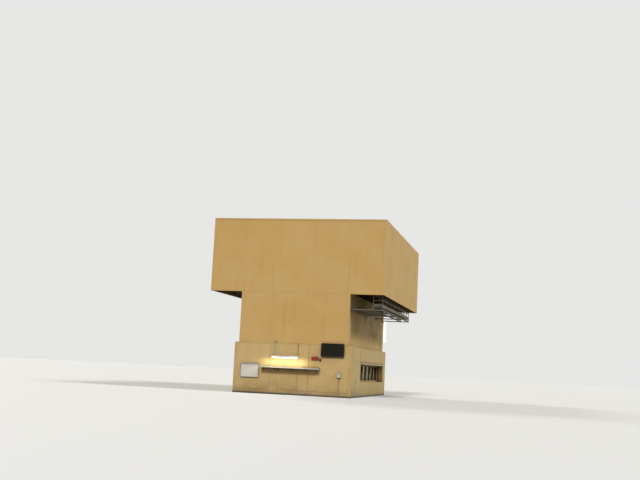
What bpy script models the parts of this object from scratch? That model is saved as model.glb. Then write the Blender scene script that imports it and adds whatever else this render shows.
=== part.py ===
"""Large hydraulic press inside a sound-insulating enclosure.

The press stands on the floor with its long side along Y and its operator side towards +X. Its
origin is the middle of the floor area that its overall box covers. A tie-rod frame of bed, four
uprights and crown carries a slide on two rams and a die cushion. Cladding panels close the base,
the body and the overhanging head, and a gangway hangs along the operator side under the head.
All sizes are in metres.
"""

import math

import bmesh
import bpy
from mathutils import Matrix, Vector

# Enclosure, as measured from the photograph
HEAD_WIDTH = 11.2
HEAD_LENGTH = 16.1
HEAD_BOTTOM = 6.34
HEAD_TOP = 11.03
BODY_WIDTH = 7.0
BODY_LENGTH = 13.0
BASE_WIDTH = 7.5
BASE_TOP = 3.15
BASE_STEP = 0.04
SHELF_REACH = 0.42
PANEL = 0.06
FLANGE = 0.05
FLANGE_DEPTH = 0.18
SEAT = 0.0003
CUT_PAST = 1.0

# Press frame
PRESS_FROM_FRONT = 7.5
FRAME_WIDTH = 5.8
FRAME_LENGTH = 10.6
BED_TOP = 0.9
CROWN_BOTTOM = 6.2
CROWN_TOP = 8.3
UPRIGHT_WIDTH = 1.0
UPRIGHT_LENGTH = 1.1
UPRIGHT_INSET = 0.05
RIB_POCKETS = 6
POCKET_DEPTH = 0.25
POCKET_WALL = 0.28
TIE_ROD_RADIUS = 0.15
TIE_ROD_PLAY = 0.005
NUT_RADIUS = 0.3
NUT_HEIGHT = 0.32
NUT_RECESS = 0.4
THREAD_END = 0.12
GIB_WIDTH = 0.3
GIB_DEPTH = 0.2
GIB_INSET = 0.2
GIB_BOTTOM = 1.4
GUIDE_GAP = 0.0006

# Slide, its rams and the die cushion
SLIDE_WIDTH = 3.6
SLIDE_LENGTH = 7.7
SLIDE_BOTTOM = 2.75
SLIDE_HEIGHT = 1.35
SHOE_LENGTH = 0.45
SHOE_MARGIN = 0.35
SLIDE_BAY_LINES = 5
BOLSTER_LENGTH = 7.6
BOLSTER_THICKNESS = 0.3
SLOT_COUNT = 8
SLOT_NECK = 0.036
SLOT_HEAD = 0.06
SLOT_NECK_DEPTH = 0.045
SLOT_DEPTH = 0.075
RAM_SPACING = 4.4
RAM_RADIUS = 0.3
PISTON_RADIUS = 0.395
PISTON_HEIGHT = 0.4
PISTON_PLAY = 0.005
CYLINDER_WALL = 0.15
CYLINDER_TOP = 9.25
CYLINDER_CAP = 0.3
CYLINDER_FLANGE = 0.2
CYLINDER_FLANGE_HEIGHT = 0.25
GLAND_HEIGHT = 0.5
GLAND_PLAY = 0.006
CUSHION_WIDTH = 2.2
CUSHION_LENGTH = 4.4
CUSHION_BOTTOM = 0.45
CUSHION_THICKNESS = 0.15
PIT_MARGIN = 0.15
PIT_FLOOR = 0.06
CUSHION_RAM_RADIUS = 0.3
CUSHION_CYLINDER_WALL = 0.11
CUSHION_CYLINDER_HEIGHT = 0.36
PIN_RADIUS = 0.05
PIN_PLAY = 0.008
PIN_ROWS = 2
PIN_COLUMNS = 4
PIN_BELOW_TOP = 0.002

# Head floor, roof and hydraulics
FLOOR_BEAM_BOTTOM = 6.42
FLOOR_TOP = 6.74
FLOOR_PLATE = 0.04
FLOOR_BEAM_WIDTH = 0.16
FLOOR_BEAMS = 9
ROOF_THICKNESS = 0.08
ROOF_RIDGE = 0.03
ROOF_RIDGE_WIDTH = 0.12
ROOF_SEAMS = 6
LOUVRE_WIDTH = 2.6
LOUVRE_HEIGHT = 1.3
LOUVRE_CENTRE_X = 3.0
LOUVRE_CENTRE_Z = 8.9
LOUVRE_SLATS = 9
SLAT_THICKNESS = 0.02
SLAT_REACH = 0.024
TONGUE_HALF_WIDTH = 3.23
TONGUE_BOTTOM = 5.9
TANK_WIDTH = 4.0
TANK_LENGTH = 2.0
TANK_HEIGHT = 1.7
TANK_FROM_FAR = 0.5
TANK_RIBS = 4
PUMP_X = 4.1
PUMP_FROM_TANK = 0.3
MOTOR_RADIUS = 0.36
MOTOR_LENGTH = 1.25
PIPE_RADIUS = 0.08
PIPE_HEIGHT = 9.7

# Lift gates in both long sides
GATE_LENGTH = 9.0
GATE_BOTTOM = 0.75
GATE_HEIGHT = 2.0
GATE_INNER = 3.28
GATE_THICKNESS = 0.08
GATE_PLAY = 0.01
WINDOW_BOTTOM = 1.05
WINDOW_TOP = 2.0
WINDOW_COUNT = 6
MULLION = 0.12
WINDOW_MARGIN = 0.3
GLASS_THICKNESS = 0.012
GLASS_OVERLAP = 0.05
GUIDE_TOP = 5.2
GUIDE_FLANGE = 0.05
GUIDE_LIP = 0.08
GUIDE_WEB = 0.07
OPENING_LENGTH = 8.8
OPENING_BOTTOM = 0.95
OPENING_TOP = 2.1
REVEAL = 0.04
LEDGE_REACH = 0.15
LEDGE_HEIGHT = 0.06
LIFT_RADIUS = 0.07
LIFT_BORE = 0.045
LIFT_ROD = 0.035
LIFT_BOTTOM = 0.3
LIFT_FROM_END = 0.2
LIFT_FROM_GATE = 0.2
LIFT_BRACKET = 0.06

# Base covers and service doors
COVER = 0.012
COVER_BOTTOM = 0.3
COVER_TOP = 3.08
END_COVERS = ((-3.6, -1.44), (-0.92, 0.36), (0.39, 1.05), (1.1, 3.6))
SIDE_COVERS = ((0.3, 3.0), (3.05, 10.6), (10.65, 12.7))
SIDE_COVER_BOTTOM = 2.25
DOOR_FROM_FRONT = 0.5
DOOR_WIDTH = 1.0
DOOR_BOTTOM = 0.12
DOOR_TOP = 2.05
DOOR_GAP = 0.008
HINGE_RADIUS = 0.018
HINGE_STANDOFF = 0.02
HINGE_HEIGHT = 0.07
HINGE_STRAP = 0.1
HINGE_STRAP_THICKNESS = 0.008
HINGE_LEVELS = (0.4, 1.7)
HANDLE_LENGTH = 0.3
HANDLE_RADIUS = 0.012
HANDLE_STANDOFF = 0.06
HANDLE_HEIGHT = 1.05
HANDLE_INSET = 0.1

# Gangway under the head on the operator side
GANGWAY_INNER = 4.87
GANGWAY_OUTER = 5.5
GANGWAY_START = 0.3
GANGWAY_END = 12.4
GANGWAY_BOTTOM = 5.4
DECK_TOP = 5.7
CHORD = 0.06
DECK_CHORD = 0.1
STRUT_SPACING = 0.55
STRUT = 0.045
LANDING_END = 6.5
LANDING_PLATE = 0.02
BRACKETS = 5
GRATING_THICKNESS = 0.03
GRATING_EDGE = 0.05
GRATING_BAR = 0.02
GRATING_PITCH = 0.11
RAIL_RADIUS = 0.021
RAIL_LEVELS = (6.03, 6.4, 6.78)
POST_SPACING = 1.21

# Fittings on the near end
SCREEN_LEFT = 1.85
SCREEN_WIDTH = 1.44
SCREEN_BOTTOM = 2.46
SCREEN_HEIGHT = 0.8
SCREEN_DEPTH = 0.06
SCREEN_STANDOFF = 0.07
SCREEN_BEZEL = 0.016
SIGN_LEFT = 1.25
SIGN_WIDTH = 0.44
SIGN_BOTTOM = 2.2
SIGN_HEIGHT = 0.21
SIGN_DEPTH = 0.05
SIGN_CORNER = 0.03
BOARD_LEFT = -3.27
BOARD_WIDTH = 1.17
BOARD_BOTTOM = 0.98
BOARD_HEIGHT = 0.9
BOARD_DEPTH = 0.06
BOARD_FRAME = 0.04
SHELF_LEFT = -1.91
SHELF_WIDTH = 3.71
SHELF_TOP = 1.7
SHELF_SHEET = 0.02
SHELF_LIP = 0.07
SHELF_GUSSETS = 5
GUSSET_THICKNESS = 0.02
GUSSET_HEIGHT = 0.26
LAMP_LEFT = -1.32
LAMP_LENGTH = 1.76
LAMP_BOTTOM = 2.3
LAMP_HEIGHT = 0.1
LAMP_DEPTH = 0.16
TUBE_RADIUS = 0.019
TUBE_DROP = 0.04
SOCKET = 0.03
CONDUIT_X = -1.14
CONDUIT_TOP = 3.06
CONDUIT_RADIUS = 0.014
CORNER_LAMP_BOTTOM = 3.8
CORNER_LAMP_LENGTH = 1.7
CORNER_LAMP_STANDOFF = 0.08
CORNER_LAMP_WIDTH = 0.16
CORNER_LAMP_FROM_FAR = 0.02
CONTROL_LEFT = 2.9
CONTROL_WIDTH = 0.22
CONTROL_BOTTOM = 1.2
CONTROL_HEIGHT = 0.34
CONTROL_DEPTH = 0.11
BUTTON_RADIUS = 0.032
BUTTON_HEAD = 0.018
BUTTON_STEM = 0.011
BUTTON_TRAVEL = 0.006
BUTTON_PLAY = 0.0005
BUTTON_DEPTH = 0.05
BUTTON_FROM_TOP = 0.09

# Sides of turned and round shapes
TURNED_STEPS = 24
SMALL_SIDES = 8
ROUND_SIDES = 12

# Places that follow from the sizes
FRONT = SHELF_REACH - (SHELF_REACH + BASE_STEP + HEAD_LENGTH) / 2
HEAD_FRONT = FRONT + BASE_STEP
HEAD_FAR = HEAD_FRONT + HEAD_LENGTH
BODY_FAR = HEAD_FRONT + BODY_LENGTH
PRESS_Y = HEAD_FRONT + PRESS_FROM_FRONT
FITTING_Y = FRONT - COVER - SEAT
SLIDE_TOP = SLIDE_BOTTOM + SLIDE_HEIGHT
BOLSTER_TOP = BED_TOP + SEAT + BOLSTER_THICKNESS
UPRIGHT_X = FRAME_WIDTH / 2 - UPRIGHT_INSET - UPRIGHT_WIDTH / 2
UPRIGHT_Y = FRAME_LENGTH / 2 - UPRIGHT_INSET - UPRIGHT_LENGTH / 2
GIB_X = UPRIGHT_X - GIB_INSET
GIB_FACE = UPRIGHT_Y - UPRIGHT_LENGTH / 2 - GIB_DEPTH
SIDES = {"right": 1, "left": -1}
ENDS = {"near": -1, "far": 1}


def empty_scene():
    for obj in list(bpy.data.objects):
        bpy.data.objects.remove(obj, do_unlink=True)
    for name in ("hydraulic_press", "cutters"):
        group = bpy.data.collections.new(name)
        bpy.context.scene.collection.children.link(group)


def paint(name, colour, roughness, metallic=0.0):
    material = bpy.data.materials.new(name)
    material.use_nodes = True
    shader = material.node_tree.nodes["Principled BSDF"]
    shader.inputs["Base Color"].default_value = (*colour, 1)
    shader.inputs["Roughness"].default_value = roughness
    shader.inputs["Metallic"].default_value = metallic
    return material


def about(centre, half):
    return (centre - half, centre + half)


def across(side, low, high):
    """An X range at these distances from the middle, on the right (1) or the left (-1)."""
    return tuple(sorted((side * low, side * high)))


def spread(low, high, count):
    """Evenly spaced places from low to high, both ends included."""
    return [low + (high - low) * index / (count - 1) for index in range(count)]


def block(x, y, z):
    """A box between the low and high value on each axis."""

    def add(mesh):
        corners = bmesh.ops.create_cube(mesh, size=1)["verts"]
        size = Vector((x[1] - x[0], y[1] - y[0], z[1] - z[0]))
        centre = Vector((x[0] + x[1], y[0] + y[1], z[0] + z[1])) / 2
        bmesh.ops.scale(mesh, vec=size, verts=corners)
        bmesh.ops.translate(mesh, vec=centre, verts=corners)

    return add


def rod(start, end, radius, sides=ROUND_SIDES):
    """A round bar between two points."""

    def add(mesh):
        low, high = Vector(start), Vector(end)
        along = high - low
        turn = along.to_track_quat("Z", "Y").to_matrix().to_4x4()
        place = Matrix.Translation((low + high) / 2) @ turn
        bmesh.ops.create_cone(mesh, cap_ends=True, segments=sides, radius1=radius,
                              radius2=radius, depth=along.length, matrix=place)

    return add


# Where a 2D curve's own x, y and thickness point for an outline drawn in each plane
PLANES = {
    "XZ": Matrix(((1, 0, 0), (0, 0, -1), (0, 1, 0))),
    "YZ": Matrix(((0, 0, 1), (1, 0, 0), (0, 1, 0))),
    "XY": Matrix.Identity(3),
}
THICKNESS_SIGN = {"XZ": -1, "YZ": 1, "XY": 1}


def profile(outline, plane, low, high):
    """A flat outline drawn as a filled 2D curve and thickened from low to high."""

    def add(mesh):
        curve = bpy.data.curves.new("outline", "CURVE")
        curve.dimensions = "2D"
        curve.fill_mode = "BOTH"
        curve.extrude = (high - low) / 2
        spline = curve.splines.new("POLY")
        spline.points.add(len(outline) - 1)
        for point, (a, b) in zip(spline.points, outline):
            point.co = (a, b, 0, 1)
        spline.use_cyclic_u = True
        carrier = bpy.data.objects.new("outline", curve)
        flat = bpy.data.meshes.new_from_object(carrier)
        flat.transform(Matrix.Translation((0, 0, THICKNESS_SIGN[plane] * (low + high) / 2)))
        flat.transform(PLANES[plane].to_4x4())
        before = set(mesh.verts)
        mesh.from_mesh(flat)
        fresh = [vert for vert in mesh.verts if vert not in before]
        bmesh.ops.remove_doubles(mesh, verts=fresh, dist=1e-5)
        bpy.data.objects.remove(carrier)
        bpy.data.curves.remove(curve)
        bpy.data.meshes.remove(flat)

    return add


def mesh_of(name, shapes):
    mesh = bmesh.new()
    for shape in shapes:
        shape(mesh)
    bmesh.ops.recalc_face_normals(mesh, faces=mesh.faces)
    data = bpy.data.meshes.new(name)
    mesh.to_mesh(data)
    mesh.free()
    return data


def place(name, data, material):
    obj = bpy.data.objects.new(name, data)
    obj.data.materials.append(material)
    bpy.data.collections["hydraulic_press"].objects.link(obj)
    return obj


def boolean(obj, operation, shapes):
    label = f"{obj.name}_{operation.lower()}_{len(obj.modifiers)}"
    tool = bpy.data.objects.new(label, mesh_of(label, shapes))
    tool.hide_render = True
    tool.display_type = "WIRE"
    bpy.data.collections["cutters"].objects.link(tool)
    modifier = obj.modifiers.new(operation.title(), "BOOLEAN")
    modifier.operation = operation
    modifier.object = tool
    modifier.solver = "EXACT"
    modifier.use_self = len(shapes) > 1


def piece(name, shape, material, join=(), cut=(), move=(0, 0, 0)):
    """One solid: a first shape, what is welded to it, then what is cut from it."""
    obj = place(name, mesh_of(name, [shape]), material)
    if join:
        boolean(obj, "UNION", join)
    if cut:
        boolean(obj, "DIFFERENCE", cut)
    return obj


def turned(name, outline, material, steps=TURNED_STEPS, cut=()):
    """A turned piece: (radius, height) points down the outside, then up any bore."""
    data = bpy.data.meshes.new(name)
    points = [(radius, 0, height) for radius, height in outline]
    data.from_pydata(points, [(i, i + 1) for i in range(len(points) - 1)], [])
    obj = place(name, data, material)
    screw = obj.modifiers.new("Screw", "SCREW")
    screw.axis = "Z"
    screw.steps = steps
    screw.render_steps = steps
    screw.use_merge_vertices = True
    screw.merge_threshold = 0.0001
    screw.use_smooth_shade = False
    if cut:
        boolean(obj, "DIFFERENCE", cut)
    return obj


def from_press(offset_low, offset_high):
    return (PRESS_Y + offset_low, PRESS_Y + offset_high)


def frame_corners():
    """Name, side sign and end sign of the four corners of the press frame."""
    return [(f"{end}_{side}", SIDES[side], ENDS[end]) for end in ENDS for side in SIDES]


def rib_pockets(bottom, top):
    """Pockets between the ribs of a welded crossbeam, on both long faces."""
    pitch = (FRAME_LENGTH - POCKET_WALL) / RIB_POCKETS
    pockets = []
    for side in SIDES.values():
        for index in range(RIB_POCKETS):
            start = -FRAME_LENGTH / 2 + POCKET_WALL + index * pitch
            x = across(side, FRAME_WIDTH / 2 - POCKET_DEPTH, FRAME_WIDTH)
            y = from_press(start, start + pitch - POCKET_WALL)
            pockets.append(block(x, y, (bottom + POCKET_WALL, top - POCKET_WALL)))
    return pockets


def tie_bores(bottom, top, radius):
    return [rod((side * UPRIGHT_X, PRESS_Y + end * UPRIGHT_Y, bottom),
                (side * UPRIGHT_X, PRESS_Y + end * UPRIGHT_Y, top), radius, TURNED_STEPS)
            for _, side, end in frame_corners()]


def make_bed(steel):
    pit_x = about(0, CUSHION_WIDTH / 2 + PIT_MARGIN)
    pit_y = about(PRESS_Y, CUSHION_LENGTH / 2 + PIT_MARGIN)
    pit = block(pit_x, pit_y, (PIT_FLOOR, BED_TOP + CUT_PAST))
    bores = tie_bores(-1, BED_TOP + CUT_PAST, TIE_ROD_RADIUS + TIE_ROD_PLAY)
    recesses = tie_bores(-1, NUT_RECESS, NUT_RADIUS + 2 * TIE_ROD_PLAY)
    bed_block = block(about(0, FRAME_WIDTH / 2), about(PRESS_Y, FRAME_LENGTH / 2), (0, BED_TOP))
    piece("bed", bed_block, steel, cut=[pit, *bores, *recesses, *rib_pockets(0, BED_TOP)])


def make_uprights(steel):
    bottom, top = BED_TOP + SEAT, CROWN_BOTTOM - SEAT
    for name, side, end in frame_corners():
        x, y = side * UPRIGHT_X, PRESS_Y + end * UPRIGHT_Y
        column = block(about(x, UPRIGHT_WIDTH / 2), about(y, UPRIGHT_LENGTH / 2), (bottom, top))
        gib_y = sorted((PRESS_Y + end * GIB_FACE, y))
        gib = block(about(side * GIB_X, GIB_WIDTH / 2), gib_y, (GIB_BOTTOM, top - POCKET_WALL))
        bore = rod((x, y, 0), (x, y, CROWN_TOP), TIE_ROD_RADIUS + TIE_ROD_PLAY, TURNED_STEPS)
        piece(f"upright_{name}", column, steel, join=[gib], cut=[bore])


def ram_places():
    return {end: PRESS_Y + sign * RAM_SPACING / 2 for end, sign in ENDS.items()}


def make_crown(steel):
    radius = PISTON_RADIUS + PISTON_PLAY + CYLINDER_WALL + TIE_ROD_PLAY
    seats = [rod((0, y, 0), (0, y, CROWN_TOP + CUT_PAST), radius, TURNED_STEPS)
             for y in ram_places().values()]
    bores = tie_bores(0, CROWN_TOP + CUT_PAST, TIE_ROD_RADIUS + TIE_ROD_PLAY)
    body = block(about(0, FRAME_WIDTH / 2), about(PRESS_Y, FRAME_LENGTH / 2),
                 (CROWN_BOTTOM, CROWN_TOP))
    piece("crown", body, steel, cut=seats + bores + rib_pockets(CROWN_BOTTOM, CROWN_TOP))


def make_tie_rods(steel):
    low_nut, high_nut = NUT_RECESS - SEAT, CROWN_TOP + SEAT
    outline = [
        (0, high_nut + NUT_HEIGHT + THREAD_END),
        (TIE_ROD_RADIUS, high_nut + NUT_HEIGHT + THREAD_END),
        (TIE_ROD_RADIUS, high_nut + NUT_HEIGHT),
        (NUT_RADIUS, high_nut + NUT_HEIGHT),
        (NUT_RADIUS, high_nut),
        (TIE_ROD_RADIUS, high_nut),
        (TIE_ROD_RADIUS, low_nut),
        (NUT_RADIUS, low_nut),
        (NUT_RADIUS, low_nut - NUT_HEIGHT),
        (0, low_nut - NUT_HEIGHT),
    ]
    for name, side, end in frame_corners():
        nut_rod = turned(f"tie_rod_{name}", outline, steel)
        nut_rod.location = (side * UPRIGHT_X, PRESS_Y + end * UPRIGHT_Y, 0)


def tee_slots(face, direction):
    """T-slots across the press in a clamping face, cut in the given Z direction."""
    places = spread(-SLIDE_LENGTH / 2 + SHOE_LENGTH, SLIDE_LENGTH / 2 - SHOE_LENGTH, SLOT_COUNT)
    neck, head = SLOT_NECK / 2, SLOT_HEAD / 2
    shoulder, floor = direction * SLOT_NECK_DEPTH, direction * SLOT_DEPTH
    slots = []
    for offset in places:
        y = PRESS_Y + offset
        outline = [(y - neck, face - direction), (y + neck, face - direction),
                   (y + neck, face + shoulder), (y + head, face + shoulder),
                   (y + head, face + floor), (y - head, face + floor),
                   (y - head, face + shoulder), (y - neck, face + shoulder)]
        slots.append(profile(outline, "YZ", -SLIDE_WIDTH, SLIDE_WIDTH))
    return slots


def pin_places():
    reach_x = CUSHION_WIDTH / 2 - PIT_MARGIN
    reach_y = CUSHION_LENGTH / 2 - 2 * PIT_MARGIN
    return [(x, PRESS_Y + y) for x in spread(-reach_x, reach_x, PIN_ROWS)
            for y in spread(-reach_y, reach_y, PIN_COLUMNS)]


def make_bolster(steel):
    plate = block(about(0, SLIDE_WIDTH / 2), about(PRESS_Y, BOLSTER_LENGTH / 2),
                  (BED_TOP + SEAT, BOLSTER_TOP))
    holes = [rod((x, y, 0), (x, y, BOLSTER_TOP + CUT_PAST), PIN_RADIUS + PIN_PLAY, SMALL_SIDES)
             for x, y in pin_places()]
    piece("bolster", plate, steel, cut=tee_slots(BOLSTER_TOP, -1) + holes)


def make_slide(steel):
    body = block(about(0, SLIDE_WIDTH / 2), about(PRESS_Y, SLIDE_LENGTH / 2),
                 (SLIDE_BOTTOM, SLIDE_TOP))
    shoes, notches = [], []
    column_face = UPRIGHT_Y - UPRIGHT_LENGTH / 2 - GUIDE_GAP
    for _, side, end in frame_corners():
        y_low = PRESS_Y + end * (SLIDE_LENGTH / 2 - SHOE_LENGTH)
        y_high = PRESS_Y + end * column_face
        shoes.append(block(about(side * GIB_X, GIB_WIDTH / 2 + SHOE_MARGIN),
                           sorted((y_low, y_high)), (SLIDE_BOTTOM + PANEL, SLIDE_TOP - PANEL)))
        notch_y = sorted((PRESS_Y + end * (GIB_FACE - GUIDE_GAP), PRESS_Y + end * UPRIGHT_Y))
        notches.append(block(about(side * GIB_X, GIB_WIDTH / 2 + GUIDE_GAP), notch_y,
                             (0, CROWN_TOP)))
    rib = POCKET_WALL / 2
    bays = spread(-SLIDE_LENGTH / 2 + 2 * SHOE_LENGTH, SLIDE_LENGTH / 2 - 2 * SHOE_LENGTH,
                  SLIDE_BAY_LINES)
    pockets = []
    for side in SIDES.values():
        for start, end in zip(bays, bays[1:]):
            x = across(side, RAM_RADIUS + POCKET_WALL + rib, SLIDE_WIDTH / 2 - rib)
            y = from_press(start + rib, end - rib)
            pockets.append(block(x, y, (SLIDE_BOTTOM + 2 * POCKET_WALL, SLIDE_TOP + CUT_PAST)))
    piece("slide", body, steel, join=shoes, cut=notches + pockets + tee_slots(SLIDE_BOTTOM, 1))


def make_main_cylinders(painted, polished):
    bore = PISTON_RADIUS + PISTON_PLAY
    outside = bore + CYLINDER_WALL
    flange_top = CROWN_BOTTOM - SEAT
    flange_bottom = flange_top - CYLINDER_FLANGE_HEIGHT
    gland = RAM_RADIUS + GLAND_PLAY
    gland_top = flange_bottom + GLAND_HEIGHT
    cylinder = [
        (0, CYLINDER_TOP), (outside, CYLINDER_TOP), (outside, flange_top),
        (outside + CYLINDER_FLANGE, flange_top), (outside + CYLINDER_FLANGE, flange_bottom),
        (gland, flange_bottom), (gland, gland_top), (bore, gland_top),
        (bore, CYLINDER_TOP - CYLINDER_CAP), (0, CYLINDER_TOP - CYLINDER_CAP),
    ]
    piston_top = CYLINDER_TOP - CYLINDER_CAP - SEAT
    ram = [
        (0, piston_top), (PISTON_RADIUS, piston_top),
        (PISTON_RADIUS, piston_top - PISTON_HEIGHT), (RAM_RADIUS, piston_top - PISTON_HEIGHT),
        (RAM_RADIUS, SLIDE_TOP + SEAT), (0, SLIDE_TOP + SEAT),
    ]
    for end, y in ram_places().items():
        turned(f"main_cylinder_{end}", cylinder, painted).location.y = y
        turned(f"main_ram_{end}", ram, polished).location.y = y


def make_cushion(painted, steel):
    bore = CUSHION_RAM_RADIUS + TIE_ROD_PLAY
    outside = bore + CUSHION_CYLINDER_WALL
    low = PIT_FLOOR + SEAT
    floor, top = low + PIT_FLOOR / 2, low + CUSHION_CYLINDER_HEIGHT
    outline = [(0, floor), (0, low), (outside, low), (outside, top), (bore, top), (bore, floor),
               (0, floor)]
    turned("cushion_cylinder", outline[::-1][:-1], painted).location.y = PRESS_Y
    plate = block(about(0, CUSHION_WIDTH / 2), about(PRESS_Y, CUSHION_LENGTH / 2),
                  (CUSHION_BOTTOM, CUSHION_BOTTOM + CUSHION_THICKNESS))
    ram = rod((0, PRESS_Y, floor + SEAT), (0, PRESS_Y, CUSHION_BOTTOM + CUSHION_THICKNESS / 2),
              CUSHION_RAM_RADIUS, TURNED_STEPS)
    pins = [rod((x, y, CUSHION_BOTTOM + CUSHION_THICKNESS / 2),
                (x, y, BOLSTER_TOP - PIN_BELOW_TOP), PIN_RADIUS, SMALL_SIDES)
            for x, y in pin_places()]
    piece("cushion", plate, steel, join=[ram, *pins])


def make_head_floor(steel):
    edge_x = HEAD_WIDTH / 2 - PANEL - SEAT
    edge_y = (HEAD_FRONT + PANEL + SEAT, HEAD_FAR - PANEL - SEAT)
    inner_x = GANGWAY_INNER - CHORD
    plate = block((-edge_x, inner_x), edge_y, (FLOOR_TOP - FLOOR_PLATE, FLOOR_TOP))
    beam_z = (FLOOR_BEAM_BOTTOM, FLOOR_TOP - FLOOR_PLATE / 2)
    half = FLOOR_BEAM_WIDTH / 2
    beams = [block((-edge_x, inner_x), about(y, half), beam_z)
             for y in spread(edge_y[0] + half, edge_y[1] - half, FLOOR_BEAMS)]
    for x in (half - edge_x, inner_x - half):
        beams.append(block(about(x, half - SEAT), (edge_y[0] + SEAT, edge_y[1] - SEAT),
                           (FLOOR_BEAM_BOTTOM + SEAT, beam_z[1])))
    well = block(about(0, FRAME_WIDTH / 2 + SEAT), about(PRESS_Y, FRAME_LENGTH / 2 + SEAT),
                 (0, HEAD_TOP))
    piece("head_floor", plate, steel, join=beams, cut=[well])


def louvres(centre_x):
    """The slanted slats of one ventilation opening in the far fascia."""
    half, reach = LOUVRE_WIDTH / 2, SLAT_REACH
    bottom = LOUVRE_CENTRE_Z - LOUVRE_HEIGHT / 2
    pitch = LOUVRE_HEIGHT / LOUVRE_SLATS
    middle = HEAD_FAR - PANEL / 2
    slats = []
    for index in range(LOUVRE_SLATS):
        low = bottom + (index + 0.25) * pitch
        outline = [(middle + reach, low), (middle + reach, low + SLAT_THICKNESS),
                   (middle - reach, low + pitch / 2 + SLAT_THICKNESS), (middle - reach, low + pitch / 2)]
        slats.append(profile(outline, "YZ", centre_x - half - PANEL, centre_x + half + PANEL))
    return slats


def make_fascias(cream):
    top = HEAD_TOP - ROOF_THICKNESS - SEAT
    whole_x = about(0, HEAD_WIDTH / 2)
    wall_z = (HEAD_BOTTOM, top)
    near_y = (HEAD_FRONT, HEAD_FRONT + PANEL)
    tongue = block(about(0, TONGUE_HALF_WIDTH), near_y, (TONGUE_BOTTOM, HEAD_BOTTOM + PANEL))
    flange_z = (HEAD_BOTTOM, HEAD_BOTTOM + FLANGE)
    lips = [block(across(side, BODY_WIDTH / 2 + SEAT, HEAD_WIDTH / 2 - PANEL - SEAT),
                  (HEAD_FRONT + PANEL / 2, HEAD_FRONT + PANEL + FLANGE_DEPTH), flange_z)
            for side in SIDES.values()]
    piece("fascia_near", block(whole_x, near_y, wall_z), cream, join=[tongue, *lips])

    far_y = (HEAD_FAR - PANEL, HEAD_FAR)
    lip = block(about(0, HEAD_WIDTH / 2 - PANEL - SEAT),
                (HEAD_FAR - PANEL - FLANGE_DEPTH, HEAD_FAR - PANEL / 2), flange_z)
    far = piece("fascia_far", block(whole_x, far_y, wall_z), cream, join=[lip])
    centres = [side * LOUVRE_CENTRE_X for side in SIDES.values()]
    holes = [block(about(x, LOUVRE_WIDTH / 2), (BODY_FAR, HEAD_FAR + CUT_PAST),
                   about(LOUVRE_CENTRE_Z, LOUVRE_HEIGHT / 2)) for x in centres]
    boolean(far, "DIFFERENCE", holes)
    boolean(far, "UNION", [slat for x in centres for slat in louvres(x)])

    side_y = (HEAD_FRONT + PANEL + SEAT, HEAD_FAR - PANEL - SEAT)
    for name, side in SIDES.items():
        x = across(side, HEAD_WIDTH / 2 - PANEL, HEAD_WIDTH / 2)
        piece(f"fascia_{name}", block(x, side_y, wall_z), cream)


def make_roof(cream):
    low, plate_top = HEAD_TOP - ROOF_THICKNESS, HEAD_TOP - ROOF_RIDGE
    x, y = about(0, HEAD_WIDTH / 2), (HEAD_FRONT, HEAD_FAR)
    inside_x = about(0, HEAD_WIDTH / 2 - ROOF_RIDGE_WIDTH)
    joints = spread(HEAD_FRONT, HEAD_FAR - ROOF_RIDGE_WIDTH, ROOF_SEAMS + 1)
    fields = [block(inside_x, (a + ROOF_RIDGE_WIDTH, b), (plate_top, HEAD_TOP + CUT_PAST))
              for a, b in zip(joints, joints[1:])]
    piece("roof", block(x, y, (low, HEAD_TOP)), cream, cut=fields)


def make_body_panels(cream):
    half = BODY_WIDTH / 2
    bottom = BASE_TOP + SEAT
    near_y = (HEAD_FRONT, HEAD_FRONT + PANEL)
    strips = [block(across(side, TONGUE_HALF_WIDTH + SEAT, half), near_y,
                    (bottom, HEAD_BOTTOM - SEAT)) for side in SIDES.values()]
    field = block(about(0, half - PANEL), near_y, (bottom, TONGUE_BOTTOM - SEAT))
    piece("body_end_near", field, cream, join=strips)
    top = FLOOR_BEAM_BOTTOM - SEAT
    far_y = (BODY_FAR - PANEL, BODY_FAR)
    piece("body_end_far", block(about(0, half), far_y, (bottom, top)), cream)
    side_y = (HEAD_FRONT + PANEL + SEAT, BODY_FAR - PANEL - SEAT)
    for name, side in SIDES.items():
        x = across(side, half - PANEL, half)
        piece(f"body_side_{name}", block(x, side_y, (bottom, top)), cream)


def make_base_ends(cream):
    half = BASE_WIDTH / 2
    wall_z, shelf_z = (0, BASE_TOP), (BASE_TOP - FLANGE, BASE_TOP)
    inside = about(0, half - PANEL - SEAT)
    covers = [block(x, (FRONT - COVER, FRONT + PANEL / 2), (COVER_BOTTOM, COVER_TOP))
              for x in END_COVERS]
    carrier = block(inside, (FRONT + PANEL / 2, FRONT + PANEL + FLANGE_DEPTH), shelf_z)
    near = block(about(0, half), (FRONT, FRONT + PANEL), wall_z)
    piece("base_end_near", near, cream, join=[carrier, *covers])
    carrier = block(inside, (BODY_FAR - PANEL - FLANGE_DEPTH, BODY_FAR - PANEL / 2), shelf_z)
    far = block(about(0, half), (BODY_FAR - PANEL, BODY_FAR), wall_z)
    piece("base_end_far", far, cream, join=[carrier])


def door_span():
    return (HEAD_FRONT + DOOR_FROM_FRONT, HEAD_FRONT + DOOR_FROM_FRONT + DOOR_WIDTH)


def hinge_axis(side):
    return side * (BASE_WIDTH / 2 + HINGE_STANDOFF), door_span()[0] - HINGE_RADIUS


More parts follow.
